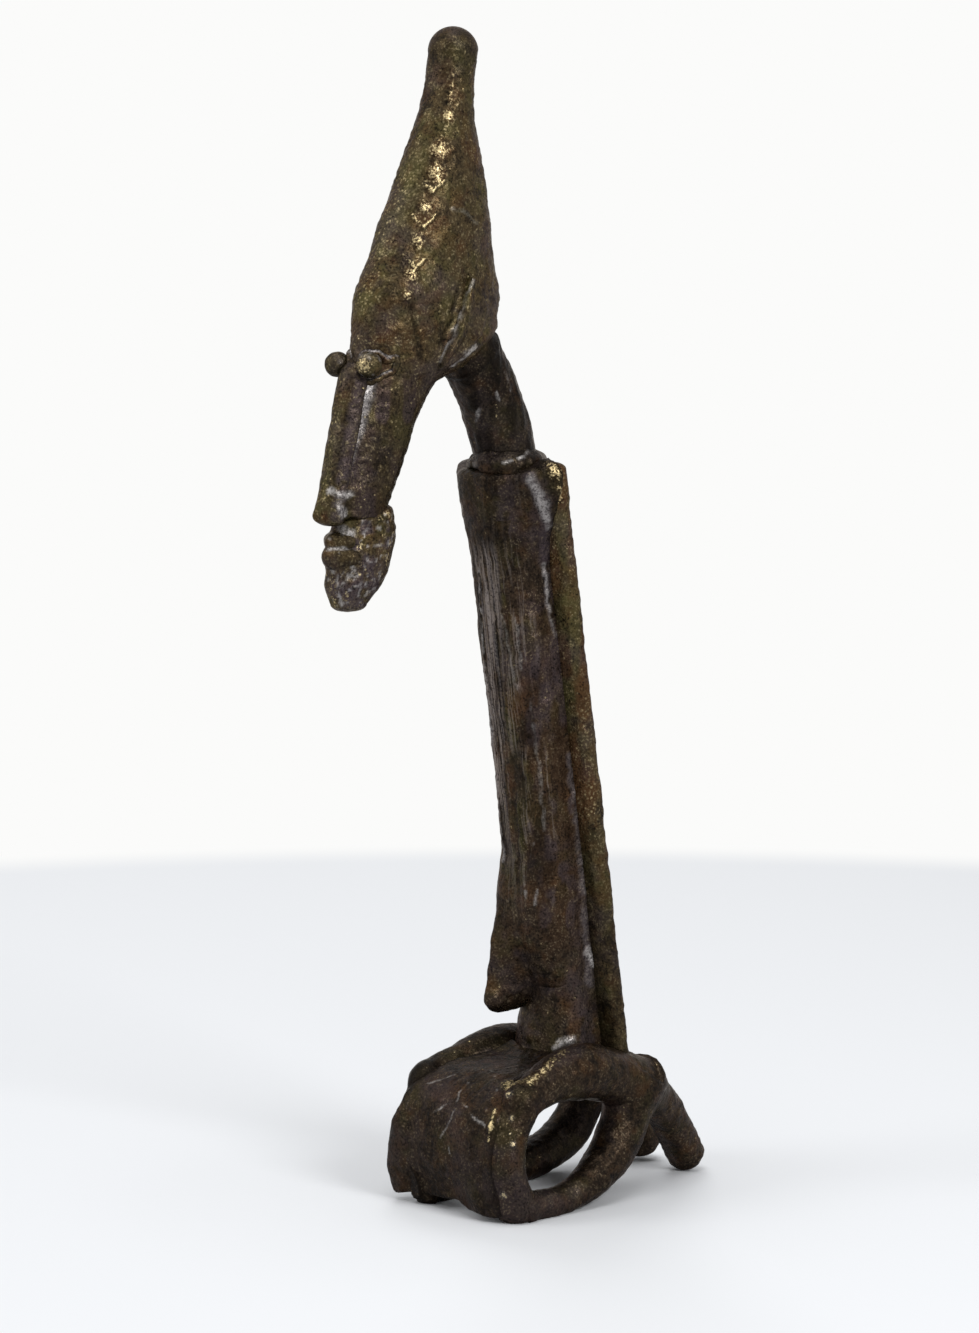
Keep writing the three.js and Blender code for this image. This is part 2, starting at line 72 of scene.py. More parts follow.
# A smooth curve through rows of numbers, with knots as far apart as the square root of the distance
# between the rows. u runs from 0 to 1 and gives each span the same share.
def curveThrough(rows, u):
    rows = np.asarray(rows, float)
    spans = len(rows) - 1
    padded = np.vstack([2 * rows[0] - rows[1], rows, 2 * rows[-1] - rows[-2]])
    place = np.clip(u, 0, 1) * spans
    first = np.minimum(place.astype(int), spans - 1)
    t = (place - first)[:, None]
    a, b, c, d = (padded[first + k] for k in range(4))
    apart = [np.sqrt(np.linalg.norm(q - p, axis=1))[:, None] for p, q in ((a, b), (b, c), (c, d))]
    mid = np.where(apart[1] < 1e-4, 1.0, apart[1])
    before, after = (np.where(k < 1e-4, mid, k) for k in (apart[0], apart[2]))
    start = ((b - a) / before - (c - a) / (before + mid) + (c - b) / mid) * mid
    end = ((c - b) / mid - (d - b) / (mid + after) + (d - c) / after) * mid
    bend = -3 * b + 3 * c - 2 * start - end
    return b + start * t + bend * t**2 + (2 * b - 2 * c + start + end) * t**3


# A form is a row of rings along a curve. A ring is a superellipse: its points are
# (width * c^(2/power), depth * s^(2/power)) for the cosine c and sine s of the angle around it.
# Each station holds x, y, z, half width, half depth and how much wider the ring's back is.
def form(stations, power=2.0, across=(1, 0, 0), level=False, roundStart=0.0, roundEnd=0.0, step=None):
    rows = np.array([list(s) + [s[3]] * (len(s) == 4) + [0.0] * (len(s) < 6) for s in stations], float)
    dense = np.linspace(0, 1, 300)
    line = curveThrough(rows[:, :3], dense)
    run = np.append(0, np.cumsum(np.linalg.norm(np.diff(line, axis=0), axis=1)))
    step = step or casting["gridStep"]
    count = max(int(run[-1] / step), 4)
    u = np.interp(np.linspace(0, run[-1], count), run, dense)
    centre, sizes = curveThrough(rows[:, :3], u), curveThrough(rows[:, 3:], u)
    along = np.gradient(centre, axis=0)
    if level:
        along = np.tile([0.0, 0.0, 1.0], (count, 1))
    along /= np.linalg.norm(along, axis=1)[:, None]
    side = np.array(across, float) - along * (along @ np.array(across, float))[:, None]
    side /= np.linalg.norm(side, axis=1)[:, None]
    return {
        "centre": centre, "along": along, "side": side, "back": np.cross(along, side),
        "wide": sizes[:, 0], "deep": sizes[:, 1], "taper": sizes[:, 2], "power": power,
        "roundStart": roundStart, "roundEnd": roundEnd, "step": step, "length": run[-1],
    }


def bent(value, power):
    return np.sign(value) * np.abs(value) ** (2 / power)


# The form's surface as rings of points, from pole to pole. An end's rings shrink by the cosine of an
# angle while they move out by the rounding times its sine, and a flat end has no rounding.
def skinOf(f):
    theta = np.linspace(0, 2 * np.pi, 721)
    around = np.stack([bent(np.cos(theta), f["power"]) * f["wide"].mean(),
                       bent(np.sin(theta), f["power"]) * f["deep"].mean()])
    run = np.append(0, np.cumsum(np.linalg.norm(np.diff(around), axis=0)))
    count = max(int(run[-1] / f["step"]), 12)
    theta = np.interp(np.arange(count) * run[-1] / count, run, theta)
    domes = [max(int(max(r, 1.0) * 1.6 / f["step"]), 2) for r in (f["roundStart"], f["roundEnd"])]
    low, high = (np.linspace(0, np.pi / 2, n + 1)[1:] for n in domes)
    rings = len(f["centre"])
    index = np.concatenate([np.zeros(domes[0], int), np.arange(rings), np.full(domes[1], rings - 1)])
    dips = (-f["roundStart"] * np.sin(low[::-1]), f["roundEnd"] * np.sin(high))
    beyond = np.concatenate([dips[0], np.zeros(rings), dips[1]])
    scale = np.concatenate([np.cos(low[::-1]), np.ones(rings), np.cos(high)])[:, None, None]
    x, y = bent(np.cos(theta), f["power"]), bent(np.sin(theta), f["power"])
    pick = lambda key: f[key][index][:, None]
    wide = (pick("wide") * x * (1 + pick("taper") * y))[..., None]
    deep = (pick("deep") * y)[..., None]
    middle = f["centre"][index] + f["along"][index] * beyond[:, None]
    return middle[:, None] + (pick("side") * wide + pick("back") * deep) * scale


# Joins rings whose first and last have shrunk to a point into one closed mesh.
def closedMesh(rings):
    rows, columns = rings.shape[0] - 2, rings.shape[1]
    points = np.vstack([rings[0, :1], rings[1:-1].reshape(-1, 3), rings[-1, :1]])
    grid = 1 + np.arange(rows * columns).reshape(rows, columns)
    turned = np.roll(grid, -1, axis=1)
    a, b, c, d = grid[:-1], turned[:-1], turned[1:], grid[1:]
    last = np.full(columns, len(points) - 1)
    faces = [
        np.stack([a, b, c], -1).reshape(-1, 3), np.stack([a, c, d], -1).reshape(-1, 3),
        np.stack([np.zeros(columns, int), turned[0], grid[0]], -1),
        np.stack([last, grid[-1], turned[-1]], -1),
    ]
    return points, np.vstack(faces)


# Joins two grids of points, the outer and the inner side of a thin sheet, into one closed mesh.
def sheetMesh(outer, inner):
    rows, columns = outer.shape[:2]
    grid = np.arange(rows * columns).reshape(rows, columns)
    under = grid + rows * columns
    a, b, c, d = grid[:-1, :-1], grid[:-1, 1:], grid[1:, 1:], grid[1:, :-1]
    faces = [np.stack([a, b, c], -1), np.stack([a, c, d], -1)]
    faces += [f[..., ::-1] + rows * columns for f in faces]
    rim = np.concatenate([grid[0, :-1], grid[:-1, -1], grid[-1, :0:-1], grid[:0:-1, 0]])
    after, below = np.roll(rim, -1), rim + rows * columns
    afterBelow = np.roll(below, -1)
    faces += [np.stack([rim, below, afterBelow], -1), np.stack([rim, afterBelow, after], -1)]
    points = np.vstack([outer.reshape(-1, 3), inner.reshape(-1, 3)])
    return points, np.vstack([f.reshape(-1, 3) for f in faces])


# The mean direction of the faces around each point.
def normalsOf(points, faces):
    corners = points[faces]
    across = np.cross(corners[:, 1] - corners[:, 0], corners[:, 2] - corners[:, 0])
    total = np.stack([
        sum(np.bincount(faces[:, k], across[:, axis], len(points)) for k in range(3)) for axis in range(3)
    ], 1)
    return total / np.maximum(np.linalg.norm(total, axis=1), 1e-12)[:, None]


# Roughly how far points lie outside a form: along the line from the nearest ring's middle, where
# the superellipse's own measure says how many times its size away the point is.
def outside(f, points):
    result = np.empty(len(points))
    for start in range(0, len(points), 8000):
        some = points[start:start + 8000]
        gap = some[:, None] - f["centre"]
        up = np.einsum("nrk,rk->nr", gap, f["along"])
        ring = np.argmin((gap**2).sum(2) + 8 * up**2, axis=1)
        rows = np.arange(len(some))
        gap, up = gap[rows, ring], up[rows, ring]
        deep = np.einsum("nk,nk->n", gap, f["back"][ring]) / f["deep"][ring]
        wide = np.einsum("nk,nk->n", gap, f["side"][ring])
        wide = wide / f["wide"][ring] / np.maximum(1 + f["taper"][ring] * np.clip(deep, -1, 1), 0.2)
        shares = (np.abs(wide) ** f["power"] + np.abs(deep) ** f["power"]) ** (1 / f["power"])
        length = np.sqrt(np.maximum((gap**2).sum(1) - up**2, 1e-9))
        radial = length * (1 - 1 / np.maximum(shares, 1e-3))
        tip = ((ring == 0) & (up < 0)) | ((ring == len(f["centre"]) - 1) & (up > 0))
        rounding = np.where(up < 0, f["roundStart"], f["roundEnd"])
        whole = np.sqrt(shares**2 + (up / np.maximum(rounding, 0.3)) ** 2)
        capped = np.linalg.norm(gap, axis=1) * (1 - 1 / np.maximum(whole, 1e-3))
        result[start:start + 8000] = np.where(tip, capped, radial)
    return result


# Value noise: random numbers on a cubic lattice, blended by smooth steps between its corners.
def noise(points, size, seed):
    cells = 24
    lattice = np.random.default_rng(seed).uniform(-1, 1, (cells, cells, cells))
    scaled = points / size + 1000 + seed * 0.37
    low = np.floor(scaled).astype(int)
    t = scaled - low
    t = t**3 * (t * (6 * t - 15) + 10)
    total = 0
    for corner in np.ndindex(2, 2, 2):
        place = (low + corner) % cells
        weight = np.prod(np.where(corner, t, 1 - t), axis=1)
        total = total + lattice[place[:, 0], place[:, 1], place[:, 2]] * weight
    return total


def smooth(value, low, high):
    t = np.clip((value - low) / (high - low), 0, 1)
    return t * t * (3 - 2 * t)


# The shortest way from points to a line of straight stretches.
def awayFrom(points, line):
    line = np.asarray(line, float)
    best = np.full(len(points), 1e9)
    for a, b in zip(line[:-1], line[1:]):
        stretch = b - a
        t = np.clip((points - a) @ stretch / max(stretch @ stretch, 1e-9), 0, 1)
        best = np.minimum(best, np.linalg.norm(points - a - t[:, None] * stretch, axis=1))
    return best


# The skin that the mould leaves: soft lumps, dents, and a grain of pits and crumbs, in millimetres.
# Marks on it waver by a small noise, and a finer one breaks up their stains.
skin = {
    "lumpSize": 5.5, "lump": 0.17, "dentSize": 1.9, "dent": 0.12, "grainSize": 0.8, "grain": 0.07,
    "waverSize": 1.6, "waver": 0.3, "raggedSize": 0.9,
}
# One mask is painted shade: it darkens seams, grooves, pits, undersides and what lies away from the light.
# The pale dust mask is mould dust, and in places a painted highlight.
stains = ("brass", "dust", "painted_shade", "olive", "rust", "plum", "drawn")

forms = {}
finished = []


# Moves points along the shortest way to lie a given height above a form.
def settled(points, f, lift, rounds=3, step=0.05):
    for _ in range(rounds):
        far = outside(f, points)
        slope = np.stack([outside(f, points + step * axis) - far for axis in np.eye(3)], 1) / step
        slope /= np.maximum(np.linalg.norm(slope, axis=1), 1e-6)[:, None]
        points = points - slope * (far - lift)[:, None]
    return points


# A piece's own marks: what they raise or cut in its skin, and seven stains from 0 to 1, one of
# which is painted shade.
class Marks:
    def __init__(self, points, normals):
        self.points = points
        self.x, self.y, self.z = points.T
        self.facesLeft, self.facesBack, self.facesUp = normals.T
        waver = np.stack([noise(points, skin["waverSize"], 20 + k) for k in range(3)], 1)
        self.wavering = points + skin["waver"] * waver
        self.ragged = 0.5 + 0.5 * noise(points, skin["raggedSize"], 31)
        self.height = np.zeros(len(points))
        self.masks = {name: np.zeros(len(points)) for name in stains}

    # A stain is broken up by the ragged noise, and most where it is thin.
    def stain(self, near, firm=0.0, **masks):
        for name, amount in masks.items():
            broken = near * smooth(self.ragged + near * 0.5 + firm, 0.5, 1.0)
            self.masks[name] = np.maximum(self.masks[name], amount * broken)

    # A line is raised or cut by a height that falls smoothly to nothing at its half width.
    def line(self, path, width, height=0.0, firm=0.0, **masks):
        near = 1 - smooth(awayFrom(self.wavering, path), 0.15 * width, width)
        self.height += height * near
        self.stain(near, firm, **masks)

    # Rows of lines that share their settings, and of spots: x, y, z and radius. For a spot the width
    # is a share of its radius.
    def draw(self, rows):
        for row in rows.values():
            settings = {"width": 1.0, "paths": (), "spots": (), **row}
            width, paths, spots = (settings.pop(key) for key in ("width", "paths", "spots"))
            for path in paths:
                self.line(path, width, **settings)
            for *place, radius in spots:
                self.line([place, place], width * radius, **settings)

    # Rows of patches, where a stretched noise passes from one limit to the other inside a region.
    def mottle(self, rows, within=1.0):
        for row in rows:
            settings = {"stretch": (1, 1, 1), **row}
            stretch, size, seed, limits = (settings.pop(key) for key in ("stretch", "size", "seed", "limits"))
            self.stain(within * smooth(noise(self.points * stretch, size, seed), *limits), **settings)


# Raises the surface near each neighbour by the fillet's share of the blend, falling to nothing at its
# width, so that two pieces meet in a luted seam, and paints shade into that seam. Then the casting's
# skin and the piece's marks follow.
def cast(name, mesh, neighbours, finish, carve=None, shape=None, lumps=1.0, grain=1.0):
    points, faces = mesh
    if shape:
        points = shape(points)
    normals = normalsOf(points, faces)
    fillet = np.zeros(len(points))
    painted_shade = np.zeros(len(points))
    for other, blend in neighbours.items():
        near = np.maximum(1 - np.abs(outside(forms[other], points)) / blend, 0)
        fillet = np.maximum(fillet, casting["fillet"] * blend * near**2)
        painted_shade = np.maximum(painted_shade, near**2)
    points = points + normals * fillet[:, None]
    marks = Marks(points, normals)
    marks.masks["painted_shade"] = casting["seamShade"] * painted_shade
    marks.height += lumps * skin["lump"] * noise(points, skin["lumpSize"], 3)
    marks.height += lumps * skin["dent"] * noise(points, skin["dentSize"], 5)
    marks.height += grain * skin["grain"] * noise(points, skin["grainSize"], 7)
    if carve:
        carve(marks)
    points = points + normals * marks.height[:, None]
    inset = casting["inset"] * (1 + len(finished))  # no two pieces end in the same plane
    points = np.clip(points, cadLow + inset, cadHigh - inset)
    surface = bpy.data.meshes.new(name)
    surface.vertices.add(len(points))
    surface.vertices.foreach_set("co", (points * millimetre + home).astype(np.float32).ravel())
    surface.loops.add(faces.size)
    surface.loops.foreach_set("vertex_index", faces.astype(np.int32).ravel())
    surface.polygons.add(len(faces))
    surface.polygons.foreach_set("loop_start", np.arange(0, faces.size, 3, dtype=np.int32))
    surface.polygons.foreach_set("use_smooth", np.ones(len(faces), bool))
    surface.update(calc_edges=True)
    for stain, values in marks.masks.items():
        layer = surface.attributes.new(stain, "FLOAT", "POINT")
        layer.data.foreach_set("value", np.clip(values, 0, 1).astype(np.float32))
    material, slot = finish
    surface.materials.append(material)
    piece = bpy.data.objects.new(name + "_casting", surface)
    bpy.context.scene.collection.objects.link(piece)
    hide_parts(name)
    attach(piece, "root")
    finished.append((name, len(faces)))


# sRGB hex to linear light: c / 12.92 up to 0.04045, and ((c + 0.055) / 1.055) ^ 2.4 above it.
def linear(colour):
    c = np.array([int(colour[k:k + 2], 16) for k in (1, 3, 5)]) / 255
    return (*np.where(c <= 0.04045, c / 12.92, ((c + 0.055) / 1.055) ** 2.4).tolist(), 1.0)


def add(tree, kind, sockets=None, **settings):
    made = tree.nodes.new("ShaderNode" + kind)
    for key, value in settings.items():
        setattr(made, key, value)
    for key, value in (sockets or {}).items():
        if isinstance(value, bpy.types.NodeSocket):
            tree.links.new(value, made.inputs[key])
        else:
            made.inputs[key].default_value = value
    return made


# The noise fields of the patina, each with its size in millimetres and its detail. The real grain is
# about 0.2 mm; it is drawn at 0.4 mm, or it would not show.
fields = {
    "grain": (0.4, 2.0), "fleck": (1.3, 4.0), "broad": (3.0, 2.0), "blotch": (6.0, 3.0),
    "oliveField": (8.0, 3.0), "rustField": (5.0, 3.0), "plumField": (11.0, 3.0),
}
# How the shares of each tone come from the fields and the stains. RANGE stretches a value from two
# limits to two others, and the rest are sums.
recipe = [
    ("brownShare", "RANGE", "blotch", 0.38, 0.62, 0.0, 1.0),
    ("warmShare", "RANGE", "fleck", 0.42, 0.62, 0.0, 0.8),
    ("oliveShare", "RANGE", "oliveField", 0.5, 0.64, 0.0, "patches"),
    ("rustShare", "RANGE", "rustField", 0.52, 0.66, 0.0, "patches"),
    ("plumShare", "RANGE", "plumField", 0.5, 0.64, 0.0, "patches"),
    ("pitGrain", "RANGE", "grain", 0.48, 0.34, 0.0, 1.0),
    ("pitField", "RANGE", "broad", 0.4, 0.6, "pitShare", 0.2),
    ("pits", "MULTIPLY", "pitGrain", "pitField"),
    ("speckGrain", "RANGE", "grain", 0.54, 0.72, 0.0, 1.0),
    ("speckField", "RANGE", "broad", 0.42, 0.62, 0.1, "speckShare"),
    ("specks", "MULTIPLY", "speckGrain", "speckField"),
    # The painted shade is laid on in the pit tone.
    ("shaded", "MULTIPLY", "painted_shade", 0.8),
    # The drawn lines are paler on their tops and darker at their feet: a painted highlight and a painted
    # shade on their relief.
    ("lineTop", "RANGE", "lines", 0.5, 0.6, 0.0, 0.7),
    ("lineFoot", "RANGE", "lines", 0.49, 0.4, 0.0, 0.85),
    ("drawnTop", "MULTIPLY", "lineTop", "drawn"),
    ("drawnFoot", "MULTIPLY", "lineFoot", "drawn"),
    ("lineRise", "MULTIPLY", "lines", "drawn"),
    ("rise", "MULTIPLY_ADD", "lineRise", 1.5, "grain"),
    ("dustGrain", "RANGE", "grain", 0.36, 0.56, 0.25, 1.0),
    ("dusted", "MULTIPLY", "dust", "dustGrain"),
    ("crumbRound", "RANGE", "crumb", 0.36, 0.2, 0.0, 1.0),
    ("crumbField", "RANGE", "fleck", "crumbsFrom", "crumbsFull", 0.0, 0.55),
    ("sown", "MAXIMUM", "brass", "crumbField"),
    ("crumbs", "MULTIPLY", "crumbRound", "sown"),
    ("rubbed", "MULTIPLY_ADD", "brass", 0.5, "grain"),
    ("rubbedShare", "RANGE", "rubbed", 0.76, 1.0, 0.0, 1.0),
    ("bare", "MAXIMUM", "rubbedShare", "crumbs"),
    ("shining", "SUBTRACT", "bare", "dusted"),
    ("metal", "RANGE", "shining", 0.0, 1.0, "metallic", 1.0),
    ("roughness", "RANGE", "fleck", 0.35, 0.65, "matt", "gloss"),
]
# The real lines are 0.2 mm apart; they are drawn at 0.34 mm, or they would not show.
drawing = {"size": 0.34, "lean": 8.3, "stretch": (1.0, 4.0, 40.0)}
# The tones in the order in which they lie over the dark skin.
layers = [
    ("brownShare", "brown"), ("warmShare", "warm"), ("oliveShare", "olive"), ("olive", "olive"),
    ("rustShare", "rust"), ("rust", "rust"), ("plumShare", "plum"), ("plum", "plum"),
    ("drawnTop", "line"), ("drawnFoot", "pit"), ("pits", "pit"), ("specks", "speck"),
    ("shaded", "pit"), ("bare", "brass"), ("dusted", "dust"),
]


# Patinated bronze, cast in a lost mould: a thin brown-black oxide skin over the metal, which shines
# through as brass where it is worn, with pale mould dust left in its hollows. Painted shade darkens
# it towards the pit tone, and the dust layer also carries painted highlights.
def patinatedBronze(name, values):
    material = bpy.data.materials.new(name)
    material.use_nodes = True
    tree = material.node_tree
    shader = tree.nodes["Principled BSDF"]
    place = add(tree, "TexCoord").outputs["Object"]
    found = dict(values)
    for stain in stains:
        found[stain] = add(tree, "Attribute", attribute_name=stain).outputs["Fac"]
    for field, (size, detail) in fields.items():
        sockets = {"Vector": place, "Scale": 1 / (size * millimetre), "Detail": detail, "Roughness": 0.6}
        found[field] = add(tree, "TexNoise", sockets).outputs["Fac"]
    sockets = {"Vector": place, "Scale": 1 / (values["crumbSize"] * millimetre)}
    found["crumb"] = add(tree, "TexVoronoi", sockets).outputs["Distance"]
    # Lines along the torso: the field is turned to its lean and drawn out along it.
    sockets = {"Vector": place, "Rotation": (np.radians(drawing["lean"]), 0, 0), "Scale": drawing["stretch"]}
    leaning = add(tree, "Mapping", sockets, vector_type="TEXTURE").outputs["Vector"]
    size = drawing["size"] * millimetre
    sockets = {"Vector": leaning, "Scale": 1 / size, "Detail": 2.0, "Roughness": 0.6}
    found["lines"] = add(tree, "TexNoise", sockets).outputs["Fac"]
    for result, operation, *inputs in recipe:
        sockets = {k: found.get(value, value) for k, value in enumerate(inputs)}
        if operation == "RANGE":
            found[result] = add(tree, "MapRange", sockets).outputs["Result"]
        else:
            found[result] = add(tree, "Math", sockets, operation=operation).outputs["Value"]
    colour = linear(values["dark"])
    for layer, tone in layers:
        sockets = {0: found[layer], 6: colour, 7: linear(values[tone + "Tone"])}
        colour = add(tree, "Mix", sockets, data_type="RGBA").outputs[2]
    tree.links.new(colour, shader.inputs["Base Color"])
    tree.links.new(found["metal"], shader.inputs["Metallic"])
    tree.links.new(found["roughness"], shader.inputs["Roughness"])
    shader.inputs["Specular IOR Level"].default_value = values["specular"]
    shader.inputs["Specular Tint"].default_value = linear(values["edge"])
    relief = values["relief"] * millimetre
    sockets = {"Strength": values["bump"], "Distance": relief, "Height": found["rise"]}
    tree.links.new(add(tree, "Bump", sockets).outputs["Normal"], shader.inputs["Normal"])
    return material


patina = {
    "dark": "#17120f", "brownTone": "#2a211a", "warmTone": "#3b2f24", "oliveTone": "#3b3620",
    "rustTone": "#4c3420", "plumTone": "#41383b", "pitTone": "#0a0807", "lineTone": "#847a74",
    "speckTone": "#7d6f5a", "brassTone": "#c9b68a", "dustTone": "#a9a5a3", "edge": "#a89c8c",
    "patches": 0.5, "pitShare": 0.9, "speckShare": 0.6, "crumbSize": 0.7, "crumbsFrom": 0.64,
    "crumbsFull": 0.74, "metallic": 0.6, "specular": 0.25, "matt": 0.46, "gloss": 0.24, "relief": 0.14,
    "bump": 0.7,
}
darkSkin = {**patina, "brownTone": "#241d18", "warmTone": "#302722"}
wornSkin = {
    **patina, "dark": "#221c15", "brownTone": "#3d3324", "warmTone": "#52452f", "oliveTone": "#4f4a2b",
    "speckTone": "#8d8062", "speckShare": 0.75, "crumbsFrom": 0.62, "crumbsFull": 0.72,
}
dark = (patinatedBronze("bronze_cast_dark_patina", darkSkin), "dark_patina")
brown = (patinatedBronze("bronze_cast_brown_patina", patina), "brown_patina")
worn = (patinatedBronze("bronze_cast_handworn_patina", wornSkin), "worn_bronze")
print("bronze: three patinas")

# Points of the leaning torso, and of the head from the middle of its headband.
body = {
    "hipHeight": 25.8, "torsoLength": 104.2, "torsoLean": 8.3, "neckLength": 22.8, "neckLean": 26.0,
    "headReach": 9.6, "headRise": 1.6,
}


def onTorso(x, y, up):
    sine, cosine = sinCos(body["torsoLean"])
    return [x, y * cosine - up * sine, body["hipHeight"] + y * sine + up * cosine]


# How far back and how far up the torso points lie, in its own leaning frame.
def torsoPlace(points):
    sine, cosine = sinCos(body["torsoLean"])
    high = points[:, 2] - body["hipHeight"]
    return points[:, 1] * cosine + high * sine, high * cosine - points[:, 1] * sine


neckSine, neckCosine = sinCos(body["neckLean"])
neckFoot = np.array(onTorso(0, 0, body["torsoLength"]))
neckTop = neckFoot + np.array([0, -neckSine, neckCosine]) * body["neckLength"]


def onHead(x, y, z):
    return [x, neckTop[1] + y - body["headReach"], neckTop[2] + z + body["headRise"]]


# Hips and legs. The right leg's rump and shin lie further back, and the shins differ.
legs = {
    "hipHalfWidth": 9.6, "hipHalfDepth": 8.4, "hipDepth": 7.0, "hipPower": 2.8, "hipUnder": 1.5,
    "hipTop": 0.8, "spread": 12.3, "kneeReach": 23.2, "kneeHeight": 20.6, "kneeRadius": 3.1,
    "kneeBow": 2.6, "footForward": 1.4, "footRadius": 3.2, "filed": 0.5, "thighRadius": 4.9,
    "thighArch": 3.6, "rumpReach": 7.2, "rumpSpread": 9.2, "rumpUnder": 6.2, "rumpLag": 6.4,
    "rumpRadius": 4.5, "shinRadius": {"left": 2.7, "right": 3.5}, "shinUpper": 4.0,
    "shinTop": {"left": 4.5, "right": 3.7}, "shinBend": {"left": -0.9, "right": 0.5},
    "shinLift": {"left": 5.6, "right": 4.4}, "shinLevel": 10.0, "shinLag": 9.0, "shinInward": 2.0,
    "toeRoot": 4.2, "toeRadius": 3.3, "toeArch": 2.2, "toeReach": 25.4, "toeGap": 11.4,
    "toeShift": -2.2, "toePower": 2.4,
}
high, wide, deep = body["hipHeight"], legs["hipHalfWidth"], legs["hipHalfDepth"]
forms["hips"] = form([[0, 0, high - legs["hipDepth"], wide, deep], [0, 0, high, wide, deep]],
                     legs["hipPower"], roundStart=legs["hipUnder"], roundEnd=legs["hipTop"])
sides = (("left", 1), ("right", -1))
reach, kneeRadius, footRadius = legs["kneeReach"], legs["kneeRadius"], legs["footRadius"]
for word, side in sides:
    lag = (side < 0) * 1.0
    radius, out = legs["shinRadius"][word], side * legs["spread"]
    top = np.array([out, -reach, legs["kneeHeight"]])
    foot = np.array([out, -reach - legs["footForward"], footRadius - legs["filed"]])
    back = legs["rumpReach"] + lag * legs["rumpLag"]
    rump = np.array([side * legs["rumpSpread"], back, high - legs["rumpUnder"]])
    middle = (top + rump) / 2 + [0, 0, legs["thighArch"]]
    quarter = (top + middle) / 2 + [0, 0, legs["thighArch"] / 4]
    forms[word + "_thigh"] = form([
        [*top, kneeRadius], [*quarter, (kneeRadius + legs["thighRadius"]) / 2],
        [*middle, legs["thighRadius"]], [*rump, legs["rumpRadius"]],
    ], roundStart=kneeRadius, roundEnd=legs["rumpRadius"])
    forms[word + "_knee"] = form([
        [*top, kneeRadius], [*((top + foot) / 2 - [0, legs["kneeBow"], 0]), kneeRadius],
        [*foot, footRadius],
    ], roundStart=kneeRadius, roundEnd=footRadius)
    ground = radius - legs["filed"]
    level = [out + lag * legs["shinInward"], legs["shinLevel"] + lag * legs["shinLag"] - reach, ground]
    bend = [side * (legs["spread"] + legs["rumpSpread"]) / 2,
            legs["shinBend"][word] + lag * legs["shinLag"], ground + legs["shinLift"][word]]
    forms[word + "_shin"] = form([
        [out, -reach, ground, radius], [*level, radius], [*bend, legs["shinUpper"]],
        [*rump, legs["shinTop"][word]],
    ])
    toeOut = legs["toeShift"] + side * legs["toeGap"] / 2
    toe = np.array([toeOut, legs["toeReach"], footRadius - legs["filed"]])
    forms[word + "_foot"] = form([
        [*rump, legs["toeRoot"]], [*((rump + toe) / 2 + [0, 0, legs["toeArch"]]), legs["toeRadius"]],
        [*toe, legs["toeRadius"]],
    ], legs["toePower"], roundEnd=legs["toeRadius"] / 2)

# Apron
apron = {
    "halfWidth": 13.0, "shift": -0.9, "shoulder": 1.2, "thickness": 2.4, "lapHalfWidth": 9.6,
    "lap": 0.4, "seat": 0.8, "stand": 0.2, "rounding": 5.0, "hem": 1.0, "tuck": 1.6, "power": 3.2,
    "step": 0.23,
}
half = apron["thickness"] / 2
lapHeight = high - apron["lap"]
bendHeight = legs["kneeHeight"] + legs["kneeRadius"] - half
front = -reach - legs["kneeBow"] - kneeRadius - apron["stand"]
forms["apron"] = form([
    [0, apron["seat"] - deep, lapHeight, apron["lapHalfWidth"], half],
    [0, -reach / 2, (lapHeight + bendHeight) / 2, apron["lapHalfWidth"], half],
    [0, -reach, bendHeight, apron["lapHalfWidth"], half],
    [apron["shift"] + apron["shoulder"] / 2, front + apron["rounding"] / 4,
     legs["kneeHeight"] - apron["rounding"] / 2, apron["halfWidth"] - apron["shoulder"] / 2, half],
    [apron["shift"], front, legs["kneeHeight"] / 2, apron["halfWidth"], half],
    [apron["shift"], front + apron["tuck"], apron["hem"], apron["halfWidth"], half],
], apron["power"], roundEnd=half, step=apron["step"])

# Torso, arms and belly. Each belly row holds how far up it lies, how far it juts, and how much
# narrower than the torso it is.
trunk = {
    "halfWidth": 7.2, "halfDepth": 5.9, "forward": 1.4, "rounding": 1.2, "sunk": -2, "power": 2.6,
    "armSpread": 8.5, "armBack": 2.5, "armWide": 2.6, "armDeep": 1.85, "armPower": 2.4,
    "shoulderForward": 0.3, "shoulderOut": 0.9, "shoulderRise": 0.4, "bellyBack": 1.0,
    "bellyLess": 0.1, "bellyFoot": 2.8, "bellyTop": 0.5,
    "belly": [[9.8, 8.4, 0.1], [12.5, 8.3, 0], [16, 7.4, 0], [20, 6.0, 0], [25, 4.0, 0.1],
              [31, 1.9, 0.1], [38, -0.1, 0.2], [44, -1.6, 0.3]],
}
length = body["torsoLength"]
forms["torso"] = form([
    [*onTorso(0, -trunk["forward"], up), trunk["halfWidth"], trunk["halfDepth"]]
    for up in (trunk["sunk"], length / 2, length - trunk["rounding"])
], trunk["power"], roundEnd=trunk["rounding"] * 1.5)
for word, side in sides:
    stations = []
    for up in (trunk["sunk"], length / 2, length + trunk["shoulderRise"] - trunk["rounding"]):
        shoulder = up > length / 2
        out = side * (trunk["armSpread"] + shoulder * (side < 0) * trunk["shoulderOut"])
        back = trunk["armBack"] - shoulder * trunk["shoulderForward"]
        stations.append([*onTorso(out, back, up), trunk["armWide"], trunk["armDeep"]])
    forms[word + "_arm"] = form(stations, trunk["armPower"], roundEnd=trunk["rounding"])
chest, behind = -trunk["forward"] - trunk["halfDepth"], trunk["bellyBack"]
forms["belly"] = form([
    [*onTorso(0, (chest - jut + behind) / 2, up), trunk["halfWidth"] - trunk["bellyLess"] - less,
     (behind - chest + jut) / 2] for up, jut, less in trunk["belly"]
], trunk["power"], roundStart=trunk["bellyFoot"], roundEnd=trunk["bellyTop"])

